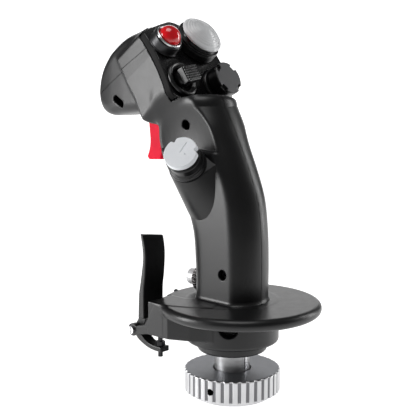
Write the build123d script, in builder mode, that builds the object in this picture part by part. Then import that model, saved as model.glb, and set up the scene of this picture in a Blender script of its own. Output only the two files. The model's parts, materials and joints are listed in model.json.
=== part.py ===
"""Flight joystick: a two-shell hand grip with a beaked head, on a hand-rest casting with a pinch lever,
a connector post and a knurled coupling ring.

Frame: origin on the post's axis at the bottom of the coupling ring, +X to the pilot's right,
+Y forward, +Z up. Millimetres.
"""
import os
from math import asin, cos, hypot, sin

from build123d import *

os.makedirs("parts", exist_ok=True)

# ---------------------------------------------------------------- driving dimensions
wall = 2.5                  # shell thickness
gap = 0.3                   # clearance between curved faces that move

# grip sections: height, centre x, half width, rear apex, rear crease, flat's front edge, front apex
grip_sections = [
    (61.0, 0.0, 17.0, -22.8, -13.5, 13.6, 23.2),
    (85.0, 0.0, 17.0, -23.3, -13.0, 14.2, 23.8),
    (106.0, 0.0, 17.0, -22.4, -12.0, 16.8, 26.5),
    (125.0, 0.0, 17.0, -19.5, -9.3, 25.0, 35.5),
    (142.0, 0.0, 17.0, -13.0, -3.2, 40.0, 48.5),
    (156.0, 0.5, 17.5, -6.5, 4.5, 46.5, 54.0),
    (168.0, 1.5, 18.5, -0.2, 8.7, 47.5, 54.0),
    (179.5, 3.0, 20.0, 6.5, 19.0, 47.5, 53.5),
]
shoulder_radius = 4.0

# head: left and right sides, and the face plate's arc in the YZ plane
head_left, head_right = -20.0, 38.0
face_low = (31.0, 183.9)
face_high = (59.2, 226.3)
face_radius = 105.0
plate_thickness = 5.0
plate_low, plate_high = -31.8, 31.5      # along the arc, from its middle
# rounded corners of the plate and head, looking onto the face: x, arc position, radius
face_corners = [(-13.0, 17.0, 6.5), (19.0, 14.0, 17.0), (22.6, -16.8, 14.6), (-12.0, -19.0, 8.0)]

# planes that cut the head's right side: point and outward direction
head_cuts = [((38.0, 50.0, 200.0), (0.88, 0.47, 0.0)), ((40.5, 34.0, 188.0), (0.75, 0.0, -0.66))]

# top cover: everything above a plane through this point of the side face, sloping down forward
cover_seam = (56.6, 214.2)
cover_slope = -0.53

# nose sections: y, left, right, bottom, top, corner radius
nose_sections = [
    (56.0, -18.0, 24.0, 171.5, 226.5, 9.0),
    (70.0, -15.5, 20.5, 174.0, 224.0, 10.0),
    (84.0, -13.0, 17.5, 174.2, 219.0, 10.5),
    (97.0, -11.0, 15.0, 173.4, 212.0, 10.0),
    (108.0, -8.5, 12.0, 176.0, 203.0, 8.5),
    (114.0, -5.5, 9.0, 180.5, 196.5, 6.5),
    (117.0, -2.5, 6.0, 184.5, 191.5, 3.4),
]

# controls on the face: x, arc position from the middle, used by the local planes below
trim_spot = (19.0, 14.0)
red_spot = (-9.7, 12.8)
ribbed_spot = (-7.4, -13.0)
castle_spot = (22.6, -16.8)

# two-way switches: gimbal, socket and stem, in each switch's local frame
pivot_depth = -10.5
trunnion_radius = 0.8
trunnion_play = 0.06
ring_inner, ring_outer = 3.4, 5.4
socket_inner, socket_outer = 6.6, 8.4
socket_bottom = -15.5
socket_top = -5.3
stem_radius = 2.2

# trim hat
trim_bezel_radius = 15.3
trim_bezel_step = 6.6
trim_bezel_top = 8.2
trim_cap_radius = 13.6
trim_cap_base = 10.0
trim_cap_wall = 1.5
trim_crown = 4.3
trim_rings = 7

# release button
red_bush_radius = 10.2
red_bush_top = 7.0
red_bush_bore = 7.6
red_cap_radius = 7.2
red_crown_base, red_crown_top = 7.8, 14.6

# ribbed selector
ribbed_ring_radius = 11.6
ribbed_cap_width = 12.0
ribbed_cap_length = 10.4
ribbed_cap_turn = 9.5
ribbed_cap_bottom = 4.2
ribbed_cap_top = 9.8
ribbed_ball_radius = 5.9
ribs = 6
rib_width = 1.15
rib_height = 0.9

# castle hat
castle_boss_radius = 11.8
castle_boss_top = 1.9
castle_cap_radius = 10.9
castle_cap_base = 4.2
castle_cap_top = 12.0

# thumb wheel on the left of the grip
wheel_base = (-24.0, 14.7, 144.6)
wheel_axis = (-0.76, -0.32, 0.565)
wheel_collar_radius = 11.8
wheel_bore = 6.6
wheel_bore_depth = 13.0

wheel_pivot = -6.0
wheel_cap_base = 11.6
wheel_cap_top = 15.2
wheel_cap_radius = 10.4
wheel_notches = 4
wheel_notch_turn = 20.0
fairing_middle = (-17.5, 14.0, 127.0)
fairing_foot = (-15.0, 13.0, 109.0)
wheel_x = (0.388, -0.9215, 0.0)
wheel_plane = Plane(origin=wheel_base, x_dir=wheel_x, z_dir=wheel_axis)

# thumb scoop under the face
scoop_centre = (-90.0, 24.0, 153.0)
scoop_radius = 78.8
scoop_shelf = 152.5

# shell screws, along X: y, z, the head's x and the boss's x
shell_screws = [(-6.6, 79.0, -13.5), (27.5, 168.0, -8.0)]
boss_radius = 4.6
access_radius = 3.0
nose_slot_at = (87.0, 182.0)
nose_slot_size = (11.0, 4.6)
nose_slot_turn = 29.0

# trigger: half thickness, pin's y and z, and the pin's radius
trigger_half = 4.0
trigger_pin_at = (62.0, 177.5)
trigger_pin_radius = 1.5

# front push button
front_button_z = 70.0
front_button_radius = 5.2
front_face = 23.4
nut_radius = 8.5
nut_height = 4.2
nut_knurls = 28
front_button_top = 12.2

# base casting
rest_centre_y = -6.7
rest_radius = 49.8
rest_top = 61.0
rest_thickness = 7.2
hub_radius = 29.0
hub_bottom = 35.0
step_radius = 21.7
step_bottom = 29.0

# pinch lever
lever_pin = (47.6, 40.1)                 # y, z
lever_left, lever_right = -40.0, -23.0
lug_left, lug_right = -36.6, -26.2
bracket_left, bracket_right = -41.0, -21.5
bracket_front = 33.0
bracket_bottom = 40.0
lever_boss_radius = 4.0
lever_pin_radius = 1.6
lug_width = 7.4
adjuster_x, adjuster_y = -33.0, 30.5
adjuster_radius = 1.5
adjuster_top = 40.6
plunger_radius = 1.7

# post and coupling ring
plug_radius = 11.2
post_radius = 11.0
post_bore = 8.6
post_top = 50.0
post_flange_radius = 15.6
keyway_azimuth = -86.0
pin_circle, pin_count, pin_radius = 5.0, 5, 0.9
post_flange_top = 12.0
post_flange_thickness = 3.0
washer_thickness = 1.0
ring_radius = 30.0
ring_top = 17.0
ring_flutes = 36
thread_radius = 17.0
ring_lip_radius = 25.0
ring_hole_radius = 12.0
ring_flute_radius = 1.25
spanner_direction = (-0.966, -0.257, 0)
wire_hole_radius = 6.0
loom_radius = 2.2
clamp_z = 49.3
clamp_direction = (-0.798, -0.603, 0)
clamp_recess_radius = 6.0
clamp_screw_radius = 3.0


# ---------------------------------------------------------------- geometry helpers
chord = hypot(face_high[0] - face_low[0], face_high[1] - face_low[1])
up = ((face_high[0] - face_low[0]) / chord, (face_high[1] - face_low[1]) / chord)
out = (-up[1], up[0])
half_angle = asin(chord / 2 / face_radius)
sagitta = face_radius * (1 - cos(half_angle))
face_centre = tuple((face_low[i] + face_high[i]) / 2 + out[i] * (sagitta - face_radius) for i in (0, 1))


def on_face(s, depth=0.0):
    """Point of the face's arc at arc length s from its middle, depth below the surface."""
    a = s / face_radius
    n = tuple(out[i] * cos(a) + up[i] * sin(a) for i in (0, 1))
    r = face_radius - depth
    return (face_centre[0] + n[0] * r, face_centre[1] + n[1] * r), n


def face_plane(spot, depth=0.0):
    """Local plane on the face: x to the right, z outward along the surface's normal."""
    (y, z), n = on_face(spot[1], depth)
    return Plane(origin=(spot[0], y, z), x_dir=(1, 0, 0), z_dir=(0, n[0], n[1]))


def finish(builder, name):
    builder.part.label = name
    export_step(builder.part, f"parts/{name}.step")


def turned(profile, plane):
    """Solid of revolution from (radius, height) points, about the plane's own z axis."""
    with BuildPart(mode=Mode.PRIVATE) as lathe:
        with BuildSketch(Plane.XZ):
            with BuildLine():
                Polyline(*profile, close=True)
            make_face()
        revolve(axis=Axis.Z)
    return plane.location * lathe.part


def grip_column(inset):
    """Column of the grip: round back, two side flats, round front, lofted through its sections."""
    with BuildPart(mode=Mode.PRIVATE) as column:
        for z, cx, w, rear, crease, flat, apex in grip_sections:
            drop = inset if z == grip_sections[-1][0] else 0.0
            with BuildSketch(Plane.XY.offset(z - drop)):
                with BuildLine():
                    left, right = cx - w + inset, cx + w - inset
                    back, front = crease + 0.5 * inset, flat - 0.5 * inset
                    Line((left, front), (left, back))
                    ThreePointArc((left, back), (cx, rear + inset), (right, back))
                    Line((right, back), (right, front))
                    ThreePointArc((right, front), (cx, apex - inset), (left, front))
                make_face()
        loft()
    return column.part


def face_prism(inset, top, bottom):
    """Prism square to the middle of the face, with the rounded outline of the plate and head."""
    plane = face_plane((0, 0))
    with BuildPart(mode=Mode.PRIVATE) as prism:
        with BuildSketch(plane.offset(bottom)):
            for x, s, radius in face_corners:
                with Locations((x, s)):
                    Circle(radius - inset)
            make_hull()
        extrude(amount=top - bottom)
    return prism.part


def head_block(inset):
    """Head behind the nose: a side profile carried across the width, cut to the face's outline, its right
    side drawn in toward the nose and toward the neck."""
    low, _ = on_face(plate_low, plate_thickness)
    high, _ = on_face(plate_high, plate_thickness)
    middle, _ = on_face(0, plate_thickness)
    with BuildPart(mode=Mode.PRIVATE) as block:
        with BuildSketch(Plane.YZ.offset(head_left + inset)):
            with BuildLine():
                Polyline(high, (79.0, 218.5), (78.5, 203.0), (73.0, 191.0), (67.0, 185.5),
                         (61.0, 178.0), (57.3, 172.0), (47.0, 168.0), (33.5, 168.0), low)
                ThreePointArc(low, middle, high)
            make_face()
            if inset:
                offset(amount=-inset, kind=Kind.INTERSECTION)
        extrude(amount=head_right - head_left - 2 * inset)
        add(face_prism(inset, 10.0, -70.0), mode=Mode.INTERSECT)
        for origin, direction in head_cuts:
            n = Vector(*direction).normalized()
            split(bisect_by=Plane(origin=Vector(*origin) - n * inset, z_dir=n), keep=Keep.BOTTOM)
    return block.part


def nose_loft(inset):
    """Beak of the head: rounded rectangles across Y, narrowing to a blunt tip."""
    rows = nose_sections[:-1] if inset else nose_sections
    with BuildPart(mode=Mode.PRIVATE) as nose:
        for y, left, right, bottom, top, corner in rows:
            depth = inset if y == rows[-1][0] else 0.0
            middle = ((left + right) / 2, y - depth, (bottom + top) / 2)
            with BuildSketch(Plane(origin=middle, x_dir=(1, 0, 0), z_dir=(0, -1, 0))):
                RectangleRounded(right - left - 2 * inset, top - bottom - 2 * inset, corner - inset)
        loft()
    return nose.part


def rounded_column(inset):
    """Grip column with its shoulder rounded, closed at the top."""
    with BuildPart(mode=Mode.PRIVATE) as column:
        add(grip_column(inset))
        rim = column.faces().sort_by(Axis.Z)[-1].edges()
        fillet(rim, shoulder_radius - inset / 2)
    return column.part


def wheel_fairing():
    """Tapered housing of the thumb wheel, from its collar down to the side flat."""
    with BuildPart(mode=Mode.PRIVATE) as fairing:
        with BuildSketch(wheel_plane):
            Circle(wheel_collar_radius)
        with BuildSketch(Plane(origin=fairing_middle, x_dir=wheel_x, z_dir=(-0.35, -0.1473, 0.92))):
            Circle(9.0)
        with BuildSketch(Plane(origin=fairing_foot, x_dir=wheel_x, z_dir=(-0.1, -0.0421, 0.99))):
            Circle(4.0)
        loft()
    return fairing.part


def thumb_scoop(inset):
    """Shallow ball that hollows the grip's left side, down to a level shelf."""
    with BuildPart(mode=Mode.PRIVATE) as scoop:
        with Locations(scoop_centre):
            Sphere(scoop_radius + inset)
        split(bisect_by=Plane.XY.offset(scoop_shelf - inset), keep=Keep.TOP)
    return scoop.part


def body_solid(inset):
    """Whole grip and head as one solid, inset by the shell thickness for the hollow."""
    with BuildPart(mode=Mode.PRIVATE) as body:
        add(rounded_column(inset))
        add(head_block(inset))
        add(nose_loft(inset))
        add(thumb_scoop(inset), mode=Mode.SUBTRACT)
        if not inset:
            add(wheel_fairing())
    return body.part


def cylinder_x(radius, x0, x1, y, z):
    """Cylinder along X between two stations."""
    return Plane.YZ.offset(x0).location * Location((y, z, 0)) * Cylinder(
        radius, x1 - x0, align=(Align.CENTER, Align.CENTER, Align.MIN), mode=Mode.PRIVATE)


def block(x0, x1, y0, y1, z0, z1):
    """Box between two corners."""
    centre = ((x0 + x1) / 2, (y0 + y1) / 2, (z0 + z1) / 2)
    return Location(centre) * Box(x1 - x0, y1 - y0, z1 - z0, mode=Mode.PRIVATE)


def face_slab(depth0, depth1, x0, x1, s0, s1):
    """Curved slab under the face, between two depths and two arc positions."""
    with BuildPart(mode=Mode.PRIVATE) as slab:
        with BuildSketch(Plane.YZ.offset(x0)):
            with BuildLine():
                for depth in (depth0, depth1):
                    ThreePointArc(*(on_face(s, depth)[0] for s in (s0, (s0 + s1) / 2, s1)))
                for s in (s0, s1):
                    Line(on_face(s, depth0)[0], on_face(s, depth1)[0])
            make_face()
        extrude(amount=x1 - x0)
    return slab.part


def face_cutter(depth):
    """Everything outside the face's arc at a depth, above the plate's lower end."""
    low, _ = on_face(plate_low, depth)
    high, _ = on_face(plate_high, depth)
    middle, _ = on_face(0, depth)
    with BuildPart(mode=Mode.PRIVATE) as cutter:
        with BuildSketch(Plane.YZ.offset(-60)):
            with BuildLine():
                ThreePointArc(low, middle, high)
                Polyline(high, (high[0], 260), (-40, 260), (-40, low[1]), low)
            make_face()
        extrude(amount=120)
    return cutter.part


# ---------------------------------------------------------------- shells
outer_solid = body_solid(0.0)
inner_solid = body_solid(wall)
cover_plane = Plane(origin=(0, *cover_seam), x_dir=(1, 0, 0), z_dir=(0, -cover_slope, 1))

with BuildPart() as shell_stock:
    add(outer_solid)
    add(face_cutter(plate_thickness), mode=Mode.SUBTRACT)
    add(inner_solid, mode=Mode.SUBTRACT)
    with BuildSketch(wheel_plane.offset(-wheel_bore_depth)):
        Circle(wheel_bore)
    extrude(amount=wheel_bore_depth + 1, mode=Mode.SUBTRACT)
    # opening behind the face plate
    add(face_slab(plate_thickness - 1, plate_thickness + 6, head_left, head_right, plate_low, plate_high)
        & face_prism(3.4, 10.0, -30.0), mode=Mode.SUBTRACT)
    # opening under the head that the trigger swings in
    add(block(-trigger_half - 0.6, trigger_half + 0.6, 50.5, 76.0, 150.0, 180.0), mode=Mode.SUBTRACT)
    # front button's hole
    with BuildSketch(Plane.XZ.offset(-front_face - 2)):
        with Locations((0, front_button_z)):
            Circle(front_button_radius + 1.5)
    extrude(amount=14, mode=Mode.SUBTRACT)
    with BuildSketch(Plane.XZ.offset(1.0 - front_face)):
        with Locations((0, front_button_z)):
            Circle(nut_radius + 0.1)
    extrude(amount=-6, mode=Mode.SUBTRACT)


def screw_bosses(side):
    """Bosses between the shells: the left one takes the screw's head, the right one its thread."""
    for y, z, head_x in shell_screws:
        if side < 0:
            add(cylinder_x(boss_radius, head_x - 2.0, 0.0, y, z) & inner_solid)
        else:
            add(cylinder_x(boss_radius, 0.0, 40.0, y, z) & inner_solid)
    for y, z, head_x in shell_screws:
        if side < 0:
            add(cylinder_x(access_radius, -40.0, head_x + 2.6, y, z), mode=Mode.SUBTRACT)
            add(cylinder_x(1.6, -40.0, 1.0, y, z), mode=Mode.SUBTRACT)
        else:
            add(cylinder_x(1.5, -1.0, 9.0, y, z), mode=Mode.SUBTRACT)


def pin_bosses(side):
    """Bosses that hold the trigger's pin, just clear of the trigger's sides."""
    y, z = trigger_pin_at
    near, far = trigger_half + 0.3, 13.0
    blind = far - 3
    boss, hole = ((near, far), (near, blind)) if side > 0 else ((-far, -near), (-blind, -near))
    add(cylinder_x(3.6, *boss, y, z))
    add(cylinder_x(trigger_pin_radius, *hole, y, z), mode=Mode.SUBTRACT)


with BuildPart() as grip_left_half:
    add(shell_stock.part)
    split(bisect_by=cover_plane, keep=Keep.BOTTOM)
    split(bisect_by=Plane.YZ, keep=Keep.BOTTOM)
    screw_bosses(-1)
    pin_bosses(-1)
    with BuildSketch(Plane.YZ.offset(-30)):
        with Locations(Location((nose_slot_at[0], nose_slot_at[1], 0), nose_slot_turn)):
            SlotOverall(*nose_slot_size)
    extrude(amount=22, mode=Mode.SUBTRACT)
finish(grip_left_half, "grip_left_half")

with BuildPart() as grip_right_half:
    add(shell_stock.part)
    split(bisect_by=cover_plane, keep=Keep.BOTTOM)
    split(bisect_by=Plane.YZ, keep=Keep.TOP)
    screw_bosses(1)
    pin_bosses(1)
finish(grip_right_half, "grip_right_half")

with BuildPart() as head_cover:
    add(shell_stock.part)
    split(bisect_by=cover_plane, keep=Keep.TOP)
finish(head_cover, "head_cover")


# ---------------------------------------------------------------- face plate
# openings: the trim and castle bosses, the red button's bush and the ribbed switch's socket
trim_opening, red_opening, ribbed_opening, castle_opening = 9.0, 6.2, 9.0, 8.6

with BuildPart() as face_plate:
    add(face_slab(0.0, plate_thickness, head_left - 2, head_right + 2, plate_low - 4, plate_high + 4)
        & face_prism(0.0, 10.0, -30.0))
    for spot, radius in ((trim_spot, trim_opening), (red_spot, red_opening), (ribbed_spot, ribbed_opening),
                         (castle_spot, castle_opening)):
        add(turned([(0, -9), (radius, -9), (radius, 4), (0, 4)], face_plane(spot)), mode=Mode.SUBTRACT)
    chamfer(face_plate.faces().sort_by(SortBy.AREA)[-1].outer_wire().edges(), 0.8)
finish(face_plate, "face_plate")


# ---------------------------------------------------------------- two-way switches
def make_socket(name, plane):
    """Cup that holds a switch's gimbal ring, with holes for the ring's two trunnions."""
    outer, inner, bottom, top = socket_outer, socket_inner, socket_bottom, socket_top
    with BuildPart() as socket:
        add(turned([(0, bottom), (outer, bottom), (outer, top), (inner, top), (inner, bottom + 2),
                    (0, bottom + 2)],
                   plane))
        add(plane.location * Location((0, 0, pivot_depth)) * Cylinder(
            trunnion_radius + trunnion_play, 2 * outer + 1, rotation=(0, 90, 0), mode=Mode.PRIVATE),
            mode=Mode.SUBTRACT)
    finish(socket, name)
    return socket


def make_gimbal(name, plane):
    """Ring that tilts in the socket about local x and carries the stem about local y."""
    with BuildPart() as ring:
        add(turned([(ring_inner, pivot_depth - 1.3), (ring_outer, pivot_depth - 1.3),
                    (ring_outer, pivot_depth + 1.3), (ring_inner, pivot_depth + 1.3)], plane))
        reach = socket_inner + 1.2
        pins = Cylinder(trunnion_radius, 2 * reach, rotation=(0, 90, 0), mode=Mode.PRIVATE)
        pins -= Cylinder(ring_inner + 0.5, 5, mode=Mode.PRIVATE)
        add(plane.location * Location((0, 0, pivot_depth)) * pins)
        add(plane.location * Location((0, 0, pivot_depth)) * Cylinder(
            trunnion_radius + trunnion_play, 2 * ring_outer + 1, rotation=(90, 0, 0), mode=Mode.PRIVATE),
            mode=Mode.SUBTRACT)
    finish(ring, name)
    return ring


def stem_solid(plane, top):
    """Stem with its two trunnions along local y."""
    with BuildPart(mode=Mode.PRIVATE) as stem:
        add(turned([(0, pivot_depth - 2.0), (stem_radius, pivot_depth - 2.0), (stem_radius, top),
                    (0, top)], plane))
        pins = Cylinder(trunnion_radius, 2 * (ring_outer - 0.3), rotation=(90, 0, 0), mode=Mode.PRIVATE)
        add(plane.location * Location((0, 0, pivot_depth)) * pins)
    return stem.part


trim_plane = face_plane(trim_spot)
red_plane = face_plane(red_spot)
ribbed_plane = face_plane(ribbed_spot)
castle_plane = face_plane(castle_spot)

# --- trim hat: black bezel and a large ringed dome
with BuildPart() as trim_bezel:
    add(turned([(trim_opening - 1.4, socket_top), (trim_opening - 0.1, socket_top),
                (trim_opening - 0.1, 0.2),
                (trim_bezel_radius, 0.2), (trim_bezel_radius, trim_bezel_step - 0.5),
                (trim_bezel_radius - 0.5, trim_bezel_step), (trim_bezel_radius - 1.9, trim_bezel_step),
                (trim_bezel_radius - 1.9, trim_bezel_top), (trim_opening - 1.4, trim_bezel_top)],
            trim_plane))
finish(trim_bezel, "trim_bezel")
make_socket("trim_socket", trim_plane)
make_gimbal("trim_gimbal", trim_plane)
with BuildPart() as trim_cap:
    add(stem_solid(trim_plane, trim_cap_base + 3.0))
    r, base, step = trim_cap_radius, trim_cap_base, 0.35
    rim = base + trim_cap_wall
    dome = [(0, base + 1.0), (r - 2.0, base + 1.0), (r - 2.0, base), (r, base), (r, rim)]
    for i in range(trim_rings):
        radius = (r - 0.8) * (1 - i / trim_rings)
        crown = rim + trim_crown * (1 - (radius / r) ** 2)
        dome += [(radius, crown - step), (radius, crown)]
    dome += [(0, rim + trim_crown)]
    add(turned(dome, trim_plane))
finish(trim_cap, "trim_cap")

# --- red release button: bush, bright collar, button, spring seat
with BuildPart() as release_bush:
    add(turned([(4.6, -12.0), (red_opening - 0.1, -12.0), (red_opening - 0.1, 0.2), (red_bush_radius, 0.2),
                (red_bush_radius - 0.5, red_bush_top), (red_bush_bore, red_bush_top), (red_bush_bore, 1.0),
                (4.6, 1.0)], red_plane))
finish(release_bush, "release_bush")
with BuildPart() as release_collar:
    add(turned([(red_bush_bore, red_bush_top), (red_bush_radius - 0.9, red_bush_top),
                (red_bush_radius - 1.3, red_bush_top + 1.3), (red_bush_bore, red_bush_top + 1.3)],
               red_plane))
finish(release_collar, "release_collar")
with BuildPart() as release_button:
    crown_base, crown_top = red_crown_base, red_crown_top
    sag = crown_top - crown_base
    ball = (red_cap_radius ** 2 + sag ** 2) / (2 * sag)
    middle = asin(red_cap_radius / ball) / 2
    with BuildSketch(Plane.XZ):
        with BuildLine():
            Polyline((0, crown_top), (0, -13.0), (2.0, -13.0), (2.0, -8.0), (4.4, -8.0), (4.4, 3.2),
                     (red_cap_radius, 3.2), (red_cap_radius, crown_base))
            ThreePointArc((red_cap_radius, crown_base),
                          (ball * sin(middle), crown_top - ball * (1 - cos(middle))), (0, crown_top))
        make_face()
    revolve(axis=Axis.Z)
    release_button.part = red_plane.location * release_button.part
finish(release_button, "release_button")

# --- ribbed selector: round socket ring, and a ribbed block on a ball
with BuildPart() as selector_ring:
    add(turned([(ribbed_opening - 1.5, socket_top), (ribbed_opening - 0.1, socket_top),
                (ribbed_opening - 0.1, 0.2),
                (ribbed_ring_radius, 0.2), (ribbed_ring_radius, 1.6), (ribbed_ring_radius - 1.0, 2.4),
                (ribbed_opening - 0.4, 2.4), (ribbed_opening - 1.5, 0.6)], ribbed_plane))
finish(selector_ring, "selector_ring")
make_socket("selector_socket", ribbed_plane)
make_gimbal("selector_gimbal", ribbed_plane)
with BuildPart() as selector_cap:
    add(stem_solid(ribbed_plane, ribbed_cap_bottom + 1.0))
    ball = Location((0, 0, 0.2)) * Sphere(ribbed_ball_radius, mode=Mode.PRIVATE)
    ball -= Location((0, 0, -5)) * Box(20, 20, 10, mode=Mode.PRIVATE)
    add(ribbed_plane.location * ball)
    with BuildSketch(ribbed_plane.offset(ribbed_cap_bottom)):
        RectangleRounded(ribbed_cap_width, ribbed_cap_length, 1.2, rotation=ribbed_cap_turn)
    extrude(amount=ribbed_cap_top - ribbed_cap_bottom)
    for i in range(ribs):
        y = ribbed_cap_length * ((i + 0.5) / ribs - 0.5) * 0.94
        with BuildSketch(Plane(ribbed_plane.location * Rotation(0, 0, ribbed_cap_turn)
                               * Location((0, y, ribbed_cap_top - 0.2)))):
            Rectangle(ribbed_cap_width - 0.8, rib_width)
        extrude(amount=rib_height + 0.2)
finish(selector_cap, "selector_cap")

# --- castle hat: coned boss, stem, and a four-notched cap that also presses in
with BuildPart() as castle_boss:
    add(turned([(castle_opening - 1.5, socket_top), (castle_opening - 0.1, socket_top),
                (castle_opening - 0.1, 0.2),
                (castle_boss_radius, 0.2), (castle_boss_radius - 1.2, castle_boss_top),
                (castle_opening - 1.5, castle_boss_top)], castle_plane))
finish(castle_boss, "castle_boss")
make_socket("castle_socket", castle_plane)
make_gimbal("castle_gimbal", castle_plane)
with BuildPart() as castle_stem:
    add(stem_solid(castle_plane, castle_cap_base + 4.0))
finish(castle_stem, "castle_stem")
with BuildPart() as castle_cap:
    r, base, top = castle_cap_radius, castle_cap_base, castle_cap_top
    add(turned([(r - 1.6, base), (r, base), (r, top), (0, top), (0, base + 5.6), (2.3, base + 5.6),
                (2.3, base + 0.6),
                (4.2, base + 0.6), (4.2, base + 3.0), (r - 1.6, base + 3.0)], castle_plane))
    for i in range(4):
        notch = Location((0, 0, top - 1.6)) * Rotation(0, 0, 45 + 90 * i) * Location((r, 0, 1.5)) * Box(
            5.0, 4.4, 3.2, mode=Mode.PRIVATE)
        add(castle_plane.location * notch, mode=Mode.SUBTRACT)
finish(castle_cap, "castle_cap")

# ---------------------------------------------------------------- thumb wheel
with BuildPart() as wheel_collar:
    r = wheel_collar_radius
    add(turned([(6.7, 0.0), (r, 0.0), (r, 1.2), (r - 0.7, 1.7), (r - 0.7, 2.9), (r - 1.8, 3.5),
                (r - 1.8, 8.6),
                (r - 3.0, 9.4), (6.7, 9.4)], wheel_plane))
finish(wheel_collar, "wheel_collar")
with BuildPart() as wheel_socket:
    bottom, top = -wheel_bore_depth, 0.0
    add(turned([(0, bottom), (wheel_bore, bottom), (wheel_bore, top), (wheel_bore - 1.0, top),
                (wheel_bore - 1.0, bottom + 1.5), (0, bottom + 1.5)], wheel_plane))
    add(wheel_plane.location * Location((0, 0, wheel_pivot)) * Cylinder(
        trunnion_radius + trunnion_play, 2 * wheel_bore + 1, rotation=(0, 90, 0), mode=Mode.PRIVATE),
        mode=Mode.SUBTRACT)
finish(wheel_socket, "wheel_socket")
with BuildPart() as wheel_gimbal:
    inner, outer = 2.8, 4.5
    add(turned([(inner, wheel_pivot - 1.2), (outer, wheel_pivot - 1.2), (outer, wheel_pivot + 1.2),
                (inner, wheel_pivot + 1.2)], wheel_plane))
    pins = Cylinder(trunnion_radius, 2 * (wheel_bore - 0.2), rotation=(0, 90, 0), mode=Mode.PRIVATE)
    pins -= Cylinder(inner + 0.5, 5, mode=Mode.PRIVATE)
    add(wheel_plane.location * Location((0, 0, wheel_pivot)) * pins)
    add(wheel_plane.location * Location((0, 0, wheel_pivot)) * Cylinder(
        trunnion_radius + trunnion_play, 2 * outer + 1, rotation=(90, 0, 0), mode=Mode.PRIVATE),
        mode=Mode.SUBTRACT)
finish(wheel_gimbal, "wheel_gimbal")
with BuildPart() as wheel_stem:
    add(turned([(0, wheel_pivot - 2.0), (1.8, wheel_pivot - 2.0), (1.8, wheel_cap_base + 1.6),
                (0, wheel_cap_base + 1.6)], wheel_plane))
    pins = Cylinder(trunnion_radius, 8.4, rotation=(90, 0, 0), mode=Mode.PRIVATE)
    add(wheel_plane.location * Location((0, 0, wheel_pivot)) * pins)
finish(wheel_stem, "wheel_stem")
with BuildPart() as wheel_cap:
    r, base, top = wheel_cap_radius, wheel_cap_base, wheel_cap_top
    add(turned([(1.9, base), (r - 1.0, base), (r, base + 0.8), (r, top - 0.6), (r - 0.8, top), (0, top),
                (0, base + 3.0), (1.9, base + 3.0)], wheel_plane))
    for i in range(wheel_notches):
        turn = Rotation(0, 0, wheel_notch_turn + 360 / wheel_notches * i)
        spot = Location((0, 0, (base + top) / 2)) * turn * Location((r + 0.9, 0, 0)) * Rotation(0, 0, 35)
        notch = spot * Box(4.6, 3.4, top - base + 2, mode=Mode.PRIVATE)
        add(wheel_plane.location * notch, mode=Mode.SUBTRACT)
finish(wheel_cap, "wheel_cap")

# ---------------------------------------------------------------- front button
front_plane = Plane(origin=(0, front_face, front_button_z), x_dir=(-1, 0, 0), z_dir=(0, 1, 0))
with BuildPart() as front_nut:
    add(turned([(front_button_radius + 1.5, -1.0), (nut_radius - 1.4, -1.0), (nut_radius, 0.2),
                (nut_radius, nut_height - 0.8), (nut_radius - 0.9, nut_height),
                (front_button_radius + 1.5, nut_height)], front_plane))
    for i in range(nut_knurls):
        spot = Rotation(0, 0, 360 / nut_knurls * i) * Location((nut_radius + 0.35, 0, nut_height / 2))
        flute = spot * Cylinder(0.75, nut_height + 3, mode=Mode.PRIVATE)
        add(front_plane.location * flute, mode=Mode.SUBTRACT)
finish(front_nut, "front_nut")
with BuildPart() as front_bush:
    r = front_button_radius
    add(turned([(0, -16.0), (r + 1.5, -16.0), (r + 1.5, nut_height + 0.4), (r + 0.1, nut_height + 0.4),
                (r + 0.1, -13.5), (0, -13.5)], front_plane))
finish(front_bush, "front_bush")
with BuildPart() as front_button:
    r = front_button_radius
    add(turned([(0, -3.0), (r, -3.0), (r, front_button_top - 0.6), (r - 0.6, front_button_top),
                (0, front_button_top)], front_plane))
finish(front_button, "front_button")
with BuildPart() as front_spring:
    helix = Helix(pitch=1.6, height=8.0, radius=3.6)
    with BuildSketch(Plane(origin=helix @ 0, z_dir=helix % 0)):
        Circle(0.35)
    sweep(path=helix, is_frenet=True)
    front_spring.part = front_plane.location * Location((0, 0, -12.9)) * front_spring.part
finish(front_spring, "front_spring")

# ---------------------------------------------------------------- trigger
with BuildPart() as trigger:
    y, z = trigger_pin_at
    with BuildSketch(Plane.YZ.offset(-trigger_half)):
        with BuildLine():
            Polyline((y - 4.4, z + 1.0), (57.5, 168.0), (58.3, 157.0), (57.8, 147.5), (59.5, 144.4),
                     (70.6, 143.9),
                     (72.4, 145.6))
            Spline((72.4, 145.6), (69.4, 155.5), (70.4, 166.5), (70.6, 172.0))
            Polyline((70.6, 172.0), (y + 4.4, z + 1.5), (y + 3.0, z + 10.0), (y - 1.5, z + 10.0),
                     (y - 4.4, z + 1.0))
        make_face()
    extrude(amount=2 * trigger_half)
    blade_edges = [e for e in trigger.edges().filter_by(Axis.X, reverse=True)
                   if e.center().Z < 172 and e.center().Z > 146]
    fillet(blade_edges, 1.4)
    add(cylinder_x(trigger_pin_radius + 0.05, -10, 10, y, z), mode=Mode.SUBTRACT)
finish(trigger, "trigger")
with BuildPart() as trigger_pin:
    add(cylinder_x(trigger_pin_radius, -10.0, 10.0, *trigger_pin_at))
finish(trigger_pin, "trigger_pin")
with BuildPart() as trigger_switch:
    y, z = trigger_pin_at
    add(block(-3.2, 3.2, y + 5.4, y + 17.0, z + 6.0, z + 13.0))
finish(trigger_switch, "trigger_switch")

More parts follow.
